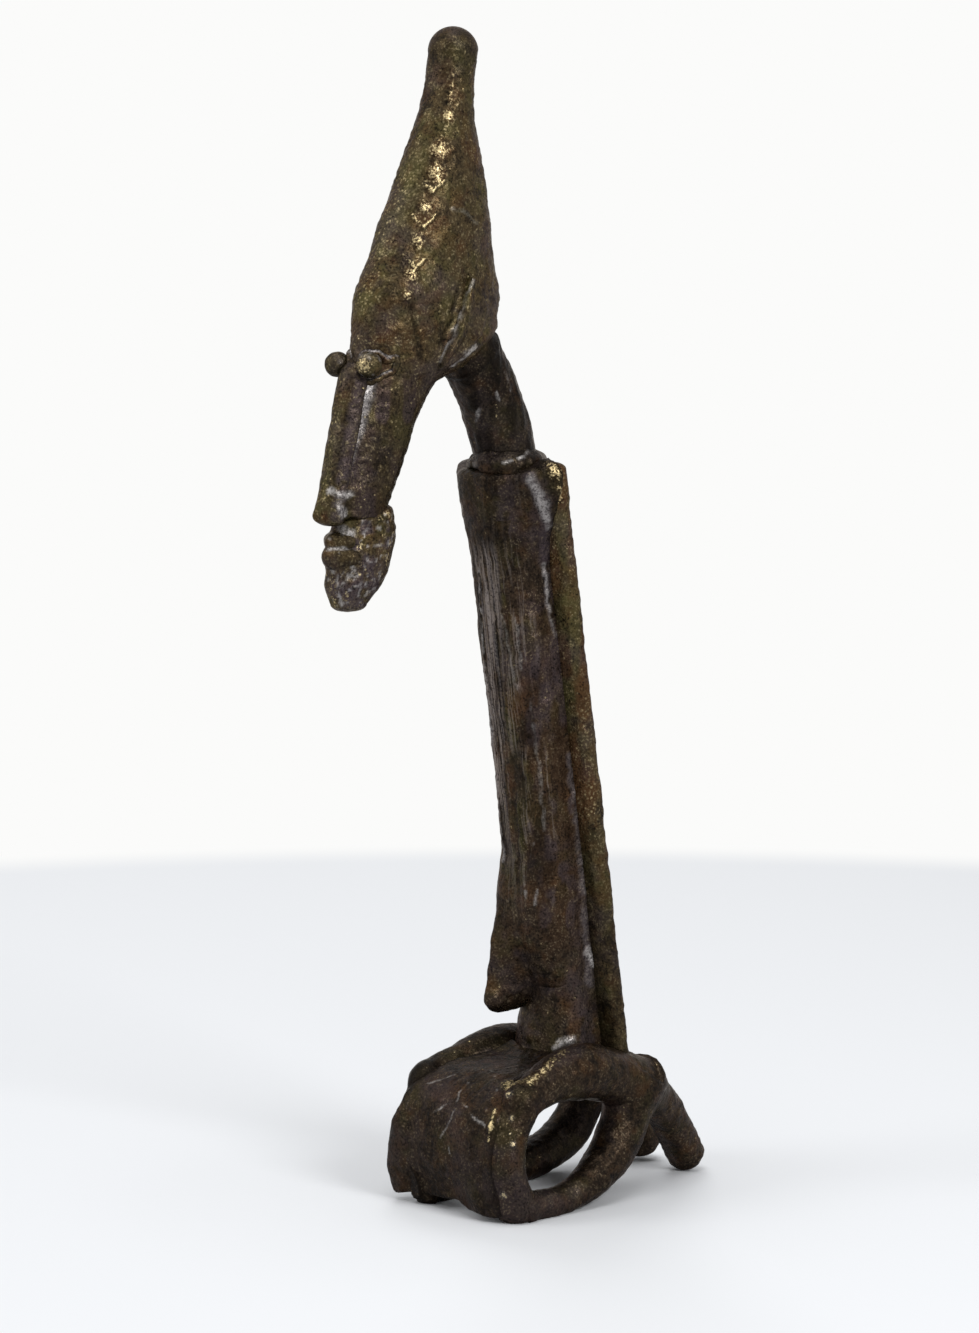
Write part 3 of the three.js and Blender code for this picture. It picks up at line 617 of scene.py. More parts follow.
# Head, cap, neck and nose. Each face row holds its shares of the length and of the slant, and how much wider
# and deeper than the chin it is. Each band row holds its height and how much smaller it is, and each
# cap row its height, half width and half depth.
face = {
    "bandWide": 7.4, "bandDeep": 15.0, "bandTaper": 0.15, "length": 29.6, "slant": 15.5, "wide": 4.4,
    "deep": 5.6, "taper": 0.12, "chin": 1.0, "crown": 2.0, "power": 2.2, "neckRadius": 5.45,
    "neckBow": 1.0, "neckSunk": 2, "noseWide": 2.3, "noseHigh": 1.8, "noseTop": 7.6, "noseSunk": 1.0,
    "nosePower": 2.4, "noseRoot": 3.0, "noseTip": 1.0, "noseStep": 0.28, "eyeRadius": 2.15,
    "eyeSpread": 4.1, "eyeDrop": 4.4, "eyeBack": 2.4,
    "rows": [[1, 1, 0, 0], [0.73, 0.83, 0.1, 0.8], [0.47, 0.66, 0.3, 1.5], [0.27, 0.49, 0.8, 2.5],
             [0.2, 0.34, 1.3, 4.2]],
    "band": [[-2.0, 0.3], [0, 0.3], [3, 1.0]],
}
forms["head"] = form([
    [*onHead(0, -face["slant"] * forward, -face["length"] * down), face["wide"] + wider,
     face["deep"] + deeper, face["taper"]] for down, forward, wider, deeper in face["rows"]
] + [
    [*onHead(0, 0, z), face["bandWide"] - less, face["bandDeep"] - less, face["bandTaper"]]
    for z, less in face["band"]
], face["power"], level=True, roundStart=face["chin"], roundEnd=face["crown"])
cap = {
    "height": 48.0, "setBack": 6.8, "knob": 4.1, "narrower": 0.1, "shallower": 0.3, "foot": 2.0,
    "rows": [[5.6, 7.4, 14.7], [13.7, 6.95, 12.2], [21.6, 6.45, 9.8], [29.6, 5.6, 7.2],
             [37.6, 4.45, 4.6], [43.6, 3.95, 3.95]],
}
brim = [face["bandWide"] - cap["narrower"], face["bandDeep"] - cap["shallower"], face["bandTaper"]]
forms["cap"] = form([
    [*onHead(0, 0, 0), *brim],
    *([*onHead(0, cap["setBack"] * z / cap["height"], z), wide, deep] for z, wide, deep in cap["rows"]),
    [*onHead(0, cap["setBack"], cap["height"]), cap["knob"], cap["knob"]],
], face["power"], level=True, roundStart=cap["foot"], roundEnd=cap["knob"])
bow = np.array([0, neckCosine, neckSine]) * face["neckBow"]
neckLine = [onTorso(0, 0, length - face["neckSunk"]), (neckFoot + neckTop) / 2 + bow, neckTop,
            onHead(0, body["headReach"] / 2, face["neckSunk"])]
forms["neck"] = form([[*point, face["neckRadius"]] for point in neckLine])


# How far the face reaches forward at a drop below the headband.
def faceReach(drop):
    further = face["slant"] + face["deep"] - face["bandDeep"]
    return face["bandDeep"] + further * drop / face["length"]


forms["nose"] = form([
    [*onHead(0, face["noseSunk"] * (1 - drop / face["length"]) - faceReach(drop), -drop),
     face["noseWide"], face["noseHigh"]]
    for drop in (face["noseTop"], face["length"] / 2, face["length"])
], face["nosePower"], roundStart=face["noseRoot"], roundEnd=face["noseTip"], step=face["noseStep"])

# Beard and lips. Each beard row holds its share of the length, how far forward it stands, and how
# much narrower and thinner it is.
beard = {
    "length": 13.4, "wide": 4.4, "deep": 6.1, "forward": -0.9, "foot": 1.2, "top": 1.0, "gap": 0.1,
    "power": 2.3, "step": 0.26,
    "rows": [[1, 1.8, 1.8, 3.0], [0.75, 0.7, 0.6, 0.9], [0.5, -0.3, 0, 0.6], [0.25, -1, 0, 0.4],
             [0.06, -1.3, 0.4, 0.5], [-0.14, -1.6, 1.0, 1.3]],
}
lipFront = -face["slant"] - beard["forward"]
beardTop = np.array(onHead(0, lipFront, -face["length"] - face["chin"] - beard["gap"]))
forms["beard"] = form([
    [*(beardTop - [0, forward, beard["length"] * down]), beard["wide"] - narrower, beard["deep"] - thinner]
    for down, forward, narrower, thinner in beard["rows"]
], beard["power"], level=True, roundStart=beard["foot"], roundEnd=beard["top"], step=beard["step"])
lips = {"radii": (1.15, 1.5), "drops": (4.0, 6.5), "halfLength": 2.2, "sunk": 1.1, "swell": (0.2, 0.35),
        "step": 0.2}
for row, name in enumerate(("upper_lip", "lower_lip")):
    drop, radius = lips["drops"][row], lips["radii"][row]
    forward = lips["sunk"] - face["slant"] - beard["forward"] - beard["deep"]
    middle = np.array(onHead(0, forward, -face["length"] - drop))
    out = np.array([lips["halfLength"], radius, 0])
    full = radius + lips["swell"][row]
    forms[name] = form([
        [*(middle + out * [sign, 1, 1]), radius] if sign else [*middle, full] for sign in (-1, 0, 1)
    ], across=(0, 0, 1), roundStart=full, roundEnd=full, step=lips["step"])
print("main forms:", len(forms))


# How far out to one side a level form's surface lies: its half width times what is left of the
# superellipse there, which is (1 - |y share| ^ power) ^ (1 / power).
def sideOf(f, y, z):
    heights = f["centre"][:, 2]
    at = lambda values: np.interp(z, heights, values)
    share = np.clip((y - at(f["centre"][:, 1])) / at(f["deep"]), -1, 1)
    left = (1 - np.abs(share) ** f["power"]) ** (1 / f["power"])
    return at(f["wide"]) * (1 + at(f["taper"]) * share) * left


def castForm(name, neighbours, finish, carve=None, **shares):
    cast(name, closedMesh(skinOf(forms[name])), neighbours, finish, carve, **shares)


# A tube around a closed line. Its ring stands square to the line and is an ellipse, whose two radii
# are given at each point: out from the line's middle, and across.
def loopMesh(line, radius, step):
    ahead = np.roll(line, -1, axis=0) - np.roll(line, 1, axis=0)
    ahead /= np.linalg.norm(ahead, axis=1)[:, None]
    out = line - line.mean(axis=0)
    out -= ahead * (out * ahead).sum(1)[:, None]
    out /= np.linalg.norm(out, axis=1)[:, None]
    other = np.cross(ahead, out)
    count = max(int(2 * np.pi * radius[:, 0].max() / step), 10)
    angle = np.linspace(0, 2 * np.pi, count, endpoint=False)[:, None]
    outward = out[:, None] * np.cos(angle) * radius[:, None, :1]
    rings = line[:, None] + outward + other[:, None] * np.sin(angle) * radius[:, None, 1:]
    rows, columns = rings.shape[:2]
    grid = np.arange(rows * columns).reshape(rows, columns)
    a, b = grid, np.roll(grid, -1, axis=1)
    c, d = np.roll(b, -1, axis=0), np.roll(a, -1, axis=0)
    faces = np.vstack([np.stack([a, b, c], -1).reshape(-1, 3), np.stack([a, c, d], -1).reshape(-1, 3)])
    return rings.reshape(-1, 3), faces


# Legs: a worn crest along the near thigh, and bare spots on it and on the near knee. Painted shade
# darkens the far thigh, knee and shin, and lies lightly over the near leg and both feet, with its seams
# paler near the camera's side. The right foot stands a little further in and forward, so that it shows
# under the apron's hem.
legMarks = {
    "thigh": {
        "crest": dict(paths=[[(11.0, -25.0, 23.3), (13.3, -21.5, 24.5), (12.8, -17.0, 26.6),
                              (12.0, -13.0, 27.6)]], width=1.7, height=0.15, rust=0.4, olive=0.4, brass=0.6),
        "bare": dict(spots=[(11.0, -25.0, 23.3, 1.6), (13.5, -22.4, 24.2, 1.2), (13.3, -20.8, 24.8, 1.4),
                            (13.0, -18.8, 25.7, 1.1), (12.4, -16.6, 26.7, 0.9)],
                     height=0.12, brass=0.8, olive=0.8),
    },
    "knee": {
        "bare": dict(spots=[(12.1, -26.2, 22.4, 1.3), (13.8, -26.9, 18.4, 0.9), (14.9, -27.5, 14.1, 1.0),
                            (14.6, -27.9, 16.0, 0.5), (13.3, -28.4, 5.5, 1.2)],
                     height=0.12, brass=0.9, dust=0.2),
    },
    "kneeCrumbs": [dict(size=1.2, seed=45, limits=(0.45, 0.9), brass=0.3)],
    "farShade": 0.55, "nearShade": 0.15, "nearSeam": 0.4,
    "footStep": [3.6, -1.3, 0.0], "footHeight": (3, 13), "footReach": (-22, -10),
}


def carveThigh(marks):
    paintNearShade(marks)
    marks.draw(legMarks["thigh"])


def carveKnee(marks):
    paintNearShade(marks)
    marks.draw(legMarks["knee"])
    marks.mottle(legMarks["kneeCrumbs"])


def shapeRightFoot(points):
    low = 1 - smooth(points[:, 2], *legMarks["footHeight"])
    share = low * (1 - smooth(points[:, 1], *legMarks["footReach"]))
    return points + share[:, None] * legMarks["footStep"]


# Painted shade for the far leg, and a light one for the near leg and the feet.
def paintFarShade(marks):
    marks.masks["painted_shade"] += legMarks["farShade"]


def paintNearShade(marks):
    marks.masks["painted_shade"] = legMarks["nearShade"] + legMarks["nearSeam"] * marks.masks["painted_shade"]


castForm("hips", {"torso": 2.0, "left_thigh": 2.0, "right_thigh": 2.0}, brown)
for word, side in sides:
    thigh, knee, shin, foot = (word + end for end in ("_thigh", "_knee", "_shin", "_foot"))
    near = side > 0
    moved = None if near else shapeRightFoot
    castForm(thigh, {"hips": 2.0, knee: 1.6, shin: 3.6, foot: 3.6, "torso": 1.2}, brown,
             carveThigh if near else paintFarShade)
    castForm(knee, {thigh: 1.6, shin: 2.2, "apron": 1.6}, brown, carveKnee if near else paintFarShade,
             shape=moved)
    castForm(shin, {knee: 2.2, thigh: 3.6, foot: 3.6}, brown, paintNearShade if near else paintFarShade, shape=moved)
    castForm(foot, {thigh: 3.6, shin: 3.6}, brown, paintNearShade)
print("legs")

# Apron: incised leaf lines, a worn edge beside the knee, and a hem that is lobed and lifts in the middle.
apronMarks = {
    "lines": {
        "leaf": dict(paths=[
            [(-8.3, -26.5, 21.4), (-5.8, -25.9, 22.1), (-3.3, -24.4, 23.1)],
            [(1.1, -25.2, 22.7), (0.4, -27.2, 20.9), (1.5, -28.9, 18.6), (0.5, -29.9, 15.4),
             (-1.0, -30.2, 13.1)],
            [(2.1, -28.0, 19.9), (5.2, -28.6, 18.6), (8.3, -29.1, 17.6), (9.8, -29.3, 16.7)],
            [(-2.5, -19.0, 24.4), (4.9, -22.6, 23.8), (8.3, -25.2, 22.3)],
            [(-4.0, -29.3, 17.1), (-0.8, -28.8, 19.0)],
            [(0.9, -30.0, 12.2), (1.5, -30.2, 10.7)],
        ], width=0.3, height=-0.1, firm=0.5, dust=0.5),
        "edge": dict(paths=[[(10.5, -27.7, 19.6), (11.1, -29.0, 17.3), (11.3, -29.5, 14.8)]],
                     width=0.7, height=0.25, firm=0.1, brass=0.95),
        "corner": dict(spots=[(9.0, -23.4, 23.4, 2.2)], height=0.1, firm=0.4, brass=0.6, olive=1.0),
        "sideLobe": dict(paths=[[(-13.3, -29.5, 4.5), (-13.3, -29.5, 13.0)]], width=5.0, height=0.6),
        "hemLobe": dict(paths=[[(8.0, -30.2, 3.5), (9.5, -30.0, 4.0)]], width=4.0, height=1.0),
    },
    "hemAt": [-13.0, -11.0, -4.0, 1.5, 4.0, 8.0], "hemLift": [0.7, 1.7, 2.1, 2.5, 1.2, 0.7],
    "hemHeight": (2, 9), "cornerOut": 0.9, "cornerSide": (6, 12), "cornerHeight": (5, 14),
    "shade": 0.25, "lowShade": 0.2, "lapShade": 0.08, "fineSize": 0.5, "fine": 0.04, "finePlum": 0.6,
}


def shapeApron(points):
    x, _, z = points.T
    low = 1 - smooth(z, *apronMarks["hemHeight"])
    lift = np.interp(x, apronMarks["hemAt"], apronMarks["hemLift"])
    corner = apronMarks["cornerOut"] * smooth(-x, *apronMarks["cornerSide"])
    corner = corner * (1 - smooth(z, *apronMarks["cornerHeight"]))
    return points + (lift * low)[:, None] * [0, 0, 1] + corner[:, None] * [-1, -1, 0]


def carveApron(marks):
    marks.draw(apronMarks["lines"])
    # Painted shade over the whole apron, darker towards the hem and on the lap.
    low, lap = 1 - smooth(marks.z, 5, 16), smooth(marks.y, -26, -20)
    shade = apronMarks["shade"] + apronMarks["lowShade"] * low + apronMarks["lapShade"] * lap
    marks.masks["painted_shade"] += shade
    fine = noise(marks.wavering * [1, 0.4, 0.4], apronMarks["fineSize"], 42)
    marks.height += apronMarks["fine"] * fine
    marks.stain(smooth(fine, 0.5, 0.9), plum=apronMarks["finePlum"])


aproned = {
    "left_knee": 1.6, "right_knee": 1.6, "left_thigh": 1.6, "right_thigh": 1.6, "torso": 1.2, "belly": 1.0,
}
castForm("apron", aproned, brown, carveApron, shape=shapeApron)

# Torso: its front is drawn in fine upright lines on the right and rough waves on the left. Its top
# swells into a rim that runs over into the arms, and pale dust lies in the groove beside the left arm.
torsoMarks = {
    "lines": {
        # corner, shine and edge paint a highlight down the torso's rounded left corner in plum and pale dust.
        "corner": dict(paths=[[(8.3, -18.0, 127.1), (9.2, -16.6, 124.4), (9.3, -15.4, 121.6),
                               (8.4, -14.2, 118.0), (7.4, -13.4, 113.0)]],
                       width=2.0, height=0.3, firm=0.4, plum=1.0),
        "shine": dict(paths=[[(8.5, -17.7, 126.6), (9.2, -16.6, 124.4), (9.3, -15.4, 121.6),
                              (8.7, -14.1, 119.0)]], width=1.3, height=0.1, firm=0.2, dust=0.65),
        "edge": dict(paths=[[(7.2, -13.6, 112.0), (7.2, -12.5, 106.0), (7.2, -11.2, 100.0)]],
                     width=0.8, height=0.15, dust=0.5, plum=0.8),
        # seam paints a plum sheen beside the groove at the left arm, with a little dust.
        "seam": dict(paths=[[(7.1, -7.7, 78.6), (7.1, -4.8, 62.0), (7.3, -3.4, 46.0), (7.3, -2.6, 38.0)]],
                     width=1.4, height=0.1, firm=0.1, plum=0.7, dust=0.12),
        "gold": dict(paths=[[(10.7, -15.3, 128.5), (11.2, -14.4, 126.8), (11.1, -13.3, 124.8)]],
                     width=1.8, height=0.1, brass=0.75, olive=0.8, rust=0.5),
        "foot": dict(spots=[(3.9, -6.9, 27.2, 0.8), (4.9, -6.6, 27.9, 1.2), (5.7, -6.0, 28.5, 1.3),
                            (6.5, -5.6, 28.8, 0.7)], height=0.25, firm=0.7, dust=1.0),
    },
    "dust": [([(7.0, -9.6, 100.0), (7.0, -9.0, 97.5)], 0.5, 0.6),
             ([(7.1, -7.7, 78.6), (7.1, -6.6, 74.3), (7.2, -6.3, 71.8)], 0.6, 0.6),
             ([(7.0, -4.6, 62.2), (7.1, -4.2, 60.0)], 0.7, 0.8),
             ([(7.1, -4.0, 57.2), (7.4, -4.1, 52.6)], 0.8, 0.5),
             ([(7.5, -3.1, 43.8), (7.3, -2.0, 41.4)], 1.2, 0.9)],
    "dustRise": 0.2, "patches": [dict(size=4.0, seed=51, limits=(0.1, 0.8), stretch=(1, 1, 0.3), plum=0.6)],
    "seamShade": 0.4, "rim": 1.1, "rimFrom": 88.0, "rimBelow": 3, "shoulder": 3.3, "blend": 5.0,
    "flare": 1.9, "flareTo": 11.0, "swellFrom": 4.5, "swellBack": (-6.0, 0.5),
}
chestMarks = {
    "lines": {
        "ridge": dict(paths=[[(-1.9, -20.6, 112.0), (-2.5, -19.5, 105.8), (-3.2, -17.8, 95.2),
                              (-3.6, -16.2, 84.6), (-3.8, -14.6, 74.0), (-4.0, -12.4, 59.6)]],
                      width=0.6, height=0.25, plum=0.8, dust=0.5),
        "curves": dict(paths=[[(3.4, -12.4, 63.1), (2.1, -12.5, 58.5), (2.1, -13.4, 53.4)],
                              [(4.4, -11.5, 59.0), (4.5, -12.0, 56.1), (4.2, -12.7, 52.7)]],
                       width=0.45, height=0.2, dust=0.5),
        "waves": dict(paths=[[(2.4, -19.4, 104.0), (3.2, -18.0, 97.0), (4.4, -16.9, 90.5)],
                             [(5.0, -18.0, 103.0), (5.0, -16.8, 94.5)],
                             [(5.9, -15.3, 88.8), (5.9, -14.3, 81.8), (5.7, -12.9, 74.7),
                              (5.6, -11.7, 65.9)]],
                      width=0.6, height=0.25, dust=0.2, olive=0.4),
    },
    "roughPatches": [dict(size=3.0, seed=84, limits=(0.1, 0.7), stretch=(1, 1, 0.4), rust=0.6)],
    "flankPatches": [dict(size=2.0, seed=85, limits=(-0.1, 0.6), stretch=(1, 1, 0.5), firm=0.1, plum=0.6)],
    "spread": 4.0, "right": 1.5, "lineSize": 0.5, "lineRise": 0.12, "lineShade": 0.5,
    "waveSize": 1.3, "waveRise": 0.4, "waveShade": 0.6, "topShade": 0.36, "topUp": (84, 94),
    "spreadUp": (42, 88), "drawnFrom": (28, 46), "drawnTo": (89, 94), "roughFrom": (22, 40),
    "roughTo": (84, 93), "flankFrom": (12, 30), "flankTo": (72, 88),
}


def chestSkin(marks):
    front = smooth(-marks.facesBack, 0.1, 0.6)
    _, up = torsoPlace(marks.points)
    # The drawn lines spread to the left towards the top.
    reach = chestMarks["spread"] * smooth(up, *chestMarks["spreadUp"]) - chestMarks["right"]
    drawn = front * (1 - smooth(marks.x - reach, -0.8, 1.4)) * smooth(up, *chestMarks["drawnFrom"])
    drawn = drawn * (1 - smooth(up, *chestMarks["drawnTo"]))
    upright = marks.points * [1, 0.3, 0.03] + 0.15 * (marks.wavering - marks.points)
    lines = noise(upright, chestMarks["lineSize"], 81)
    marks.height += chestMarks["lineRise"] * lines * drawn
    marks.masks["drawn"] = np.maximum(marks.masks["drawn"], drawn)
    # The lines' tops are stained plum and pale as a painted highlight, and painted shade lies in their
    # troughs.
    marks.stain(drawn * smooth(lines, -0.2, 0.5), 0.5, plum=0.8, dust=0.12)
    marks.masks["painted_shade"] += chestMarks["lineShade"] * drawn * smooth(-lines, 0.1, 0.6)
    rough = front * (1 - drawn) * smooth(up, *chestMarks["roughFrom"])
    rough = rough * (1 - 0.8 * smooth(up, *chestMarks["roughTo"]))
    # Painted shade darkens the chest towards its top.
    marks.masks["painted_shade"] += chestMarks["topShade"] * smooth(up, *chestMarks["topUp"])
    waves = noise(marks.wavering * [1, 0.4, 0.16], chestMarks["waveSize"], 83)
    marks.height += chestMarks["waveRise"] * waves * rough
    marks.masks["drawn"] = np.maximum(marks.masks["drawn"], 0.5 * rough * smooth(waves, -0.5, 0.5))
    marks.stain(rough * smooth(waves, 0.0, 0.6), olive=1.0)
    # Painted shade lies in the waves' troughs.
    marks.masks["painted_shade"] += chestMarks["waveShade"] * rough * smooth(-waves, 0.1, 0.7)
    marks.mottle(chestMarks["roughPatches"], rough)
    # Painted light: the flank that faces the figure's left, towards the light, is tinted lighter in rust and
    # plum.
    litFlank = smooth(marks.facesLeft, 0.2, 0.7) * smooth(up, *chestMarks["flankFrom"])
    litFlank = litFlank * (1 - smooth(up, *chestMarks["flankTo"]))
    marks.stain(litFlank, 0.2, rust=0.25)
    marks.mottle(chestMarks["flankPatches"], litFlank)
    marks.draw(chestMarks["lines"])


# The torso's rim swells its front and right side towards the top, under the chest panel too.
def swellRim(marks):
    _, up = torsoPlace(marks.points)
    facing = smooth(-0.5 * marks.facesLeft - 0.85 * marks.facesBack, 0.1, 0.8)
    top = smooth(up, torsoMarks["rimFrom"], length - torsoMarks["rimBelow"])
    marks.height += torsoMarks["rim"] * facing * top


# The torso's top and the arms' tops run into each other: both rise by the fillet's share of the
# blend near the other, the more the higher up.
def joinShoulders(marks, others):
    _, up = torsoPlace(marks.points)
    for other in others:
        near = np.maximum(1 - np.abs(outside(forms[other], marks.points)) / torsoMarks["blend"], 0)
        rise = casting["fillet"] * torsoMarks["blend"] * near**2
        marks.height += rise * smooth(up, torsoMarks["rimFrom"], length)


# The torso's sides swell out near the top until they reach the arms' outer sides.
def shapeTorso(points):
    back, up = torsoPlace(points)
    side = smooth(np.abs(points[:, 0]), torsoMarks["swellFrom"], trunk["halfWidth"])
    out = torsoMarks["shoulder"] * side * smooth(back, *torsoMarks["swellBack"])
    out = out * smooth(up, torsoMarks["rimFrom"], length)
    return points + (np.sign(points[:, 0]) * out)[:, None] * [1, 0, 0]


def carveTorso(marks):
    _, up = torsoPlace(marks.points)
    # Its seams take a lighter painted shade.
    marks.masks["painted_shade"] *= torsoMarks["seamShade"]
    swellRim(marks)
    ahead = smooth(-marks.facesBack, -0.1, 0.8)
    marks.height += torsoMarks["flare"] * ahead * (1 - smooth(up, 0, torsoMarks["flareTo"]))
    joinShoulders(marks, ["left_arm", "right_arm"])
    chestSkin(marks)
    marks.draw(torsoMarks["lines"])
    for path, width, share in torsoMarks["dust"]:
        marks.line(path, width, torsoMarks["dustRise"], dust=share)
    marks.mottle(torsoMarks["patches"])


castForm("torso", {"left_arm": 2.6, "right_arm": 2.6, "neck": 1.4, "hips": 1.4, "apron": 1.4}, brown,
         carveTorso, shape=shapeTorso)


bellyMarks = {
    "tip": {"lip": dict(paths=[[(-6.0, -16.8, 35.6), (-3.6, -15.2, 34.9)]], width=2.6, height=0.7)},
    "fade": (-5.5, 0.0), "fadeUp": (6.0, 44.0), "sunk": 0.6, "corner": 3.0, "cornerSide": (-5.5, -1.0),
    "cornerUp": (7, 15), "pitSize": 1.5, "pit": 0.3, "pitShade": 0.6, "pitsTo": (34, 42),
}


# The belly's lip juts on the right. Beside it what stands in front of the torso's own surface, which is
# the superellipse's share of its half depth, shrinks towards the hip until it sinks below it.
def shapeBelly(points):
    sine, cosine = sinCos(body["torsoLean"])
    back, up = torsoPlace(points)
    power, x = forms["torso"]["power"], points[:, 0]
    share = np.clip(np.abs(x) / trunk["halfWidth"], 0, 1)
    front = -trunk["forward"] - trunk["halfDepth"] * (1 - share ** power) ** (1 / power)
    less = 1 - smooth(up, *bellyMarks["fadeUp"])
    proud = np.maximum(front - back, 0)
    pulled = np.where(proud > 0, proud * less + bellyMarks["sunk"] * less**2, 0)
    pulled = pulled * smooth(x, *bellyMarks["fade"])
    corner = bellyMarks["corner"] * smooth(x, *bellyMarks["cornerSide"])
    corner = corner * (1 - smooth(up, *bellyMarks["cornerUp"]))
    return points + pulled[:, None] * [0, cosine, sine] + corner[:, None] * [0, -sine, cosine]


def carveBelly(marks):
    chestSkin(marks)
    marks.draw(bellyMarks["tip"])
    pits = smooth(noise(marks.points, bellyMarks["pitSize"], 61), 0.3, 0.9)
    pits = pits * (1 - smooth(marks.z, *bellyMarks["pitsTo"]))
    marks.height -= bellyMarks["pit"] * pits
    # Painted shade in the pits.
    marks.masks["painted_shade"] += bellyMarks["pitShade"] * pits


castForm("belly", {"apron": 0.8}, brown, carveBelly, shape=shapeBelly)

# Arms: golden brown, brightest at the shoulder, with a nick behind the left elbow.
armMarks = {
    "lines": {
        "shoulder": dict(paths=[[(10.7, -14.9, 128.1), (11.0, -13.3, 123.3)]],
                         width=1.6, brass=0.7, olive=0.6),
        "gold": dict(paths=[[(10.9, -5.9, 72.0), (11.0, -4.8, 66.6)]], width=1.3, brass=0.45, rust=0.7),
        # nick is cut in and darkened with painted shade.
        "nick": dict(paths=[[(11.1, -7.5, 84.2), (11.1, -5.0, 83.6)]], width=0.7, height=-0.4, painted_shade=0.6),
    },
    "patches": [
        dict(size=3.0, seed=71, limits=(-0.3, 0.5), stretch=(1, 1, 0.4), firm=0.2, rust=0.85),
        dict(size=4.0, seed=72, limits=(-0.3, 0.5), stretch=(1, 1, 0.4), firm=0.2, olive=0.5),
        dict(size=0.9, seed=73, limits=(0.0, 0.7), firm=0.2, brass=0.24),
    ],
    "upper": (40, 75), "seamShade": 0.5, "shade": 0.03, "lowShade": 0.42, "pitSize": 1.4, "pitShade": 0.3,
}


def carveArm(marks):
    # The painted shade in its seams is lighter.
    marks.masks["painted_shade"] *= armMarks["seamShade"]
    joinShoulders(marks, ["torso"])
    marks.draw(armMarks["lines"])
    upper = smooth(marks.z, *armMarks["upper"])
    marks.mottle(armMarks["patches"], upper)
    pits = smooth(noise(marks.points, armMarks["pitSize"], 74), 0.2, 0.8)
    # Painted shade: a little over the whole arm, more towards the bottom and in pits.
    shade = armMarks["shade"] + armMarks["lowShade"] * (1 - upper) + armMarks["pitShade"] * pits
    marks.masks["painted_shade"] += shade


for word, side in sides:
    castForm(word + "_arm", {"torso": 2.6, word + "_thigh": 1.2, "hips": 1.0}, worn, carveArm)
print("torso, belly and arms")

# Chest panel: a thin sheet on the torso's front, its lower end narrowing to one side. It lies on the
# torso's superellipse, raised by a height that falls to nothing at its edges.
panel = {
    "halfWidth": 5.9, "thickness": 0.45, "under": 1.0, "drop": 8.0, "length": 70.0, "point": 24.0,
    "sideEdge": 0.3, "endEdge": 300.0, "rows": 300, "columns": 80,
}


def panelMesh():
    f = forms["torso"]
    foot = length - panel["drop"] - panel["length"]
    up = np.linspace(length - panel["drop"], foot, panel["rows"])[:, None]
    share = np.linspace(1, -1, panel["columns"])[None]
    narrow = np.clip((foot + panel["point"] - up) / panel["point"], 0, 1)
    x = panel["halfWidth"] * ((share + 1) * (1 - 0.5 * narrow) - 1)
    rest = (1 - np.abs(x / trunk["halfWidth"]) ** f["power"]) ** (1 / f["power"])
    ends = smooth((up - up.min()) * (up.max() - up), 0, panel["endEdge"])
    edge = np.minimum(smooth(1 - np.abs(share), 0, panel["sideEdge"]), ends)
    layers = []
    for lift in (panel["thickness"] * edge, 0 * edge - panel["under"]):
        y = -trunk["forward"] - trunk["halfDepth"] * rest - lift
        layers.append(np.stack(np.broadcast_arrays(*onTorso(x, y, up)), -1))
    return sheetMesh(layers[0], layers[1])


def carvePanel(marks):
    swellRim(marks)
    chestSkin(marks)


cast("chest_panel", panelMesh(), {}, brown, carvePanel)

# Neck and collar: a dark smooth neck with upright streaks, in a torn and lumpy roll of bronze. The
# neck is darkened with painted shade, and its pale streak lines are painted reflections.
collar = {
    "lines": {
        "spike": dict(spots=[(5.0, -16.4, 130.8, 1.6)], height=1.1),
        "crack": dict(paths=[[(5.4, -13.6, 132.5), (5.9, -15.4, 132.0), (6.5, -17.1, 131.0),
                              (6.5, -18.9, 130.2), (5.2, -21.0, 129.8)]],
                      width=0.5, height=0.25, firm=0.1, dust=0.8),
    },
    "neckLines": {
        # Painted reflections: pale glossy streaks down the neck.
        "streaks": dict(paths=[[(5.3, -20.8, 145.1), (5.4, -19.7, 142.0)],
                               [(5.1, -22.4, 141.6), (4.9, -21.6, 140.2)],
                               [(2.6, -24.1, 138.7), (1.1, -23.7, 136.9)]],
                        width=0.45, height=0.15, dust=0.45),
    },
    "patches": [dict(size=1.5, seed=94, limits=(0.2, 0.8), dust=0.3, plum=0.6)],
    "radius": 5.3, "rollOut": 1.7, "rollUp": 1.5, "rise": 0.5, "fall": 0.12, "uneven": 0.5,
    "unevenSize": 4.0, "thin": 0.35, "thinAt": 50.0, "lumpSize": 2.6, "lump": 0.45, "crumbSize": 1.1,
    "crumb": 0.15, "streakSize": 1.2, "streak": 0.14, "neckShade": 0.45, "streakShade": 0.5, "step": 0.26,
    "count": 130,
}


def carveNeck(marks):
    streaks = noise(marks.points * [1, 1, 0.22], collar["streakSize"], 91)
    marks.height += collar["streak"] * streaks
    # Painted shade over the whole neck, deeper along the streaks.
    marks.masks["painted_shade"] += collar["neckShade"] + collar["streakShade"] * smooth(streaks, 0.0, 0.6)
    marks.draw(collar["neckLines"])


def carveCollar(marks):
    marks.height += (collar["lump"] * noise(marks.points, collar["lumpSize"], 93)
                     + collar["crumb"] * noise(marks.points, collar["crumbSize"], 95))
    marks.draw(collar["lines"])
    marks.mottle(collar["patches"])


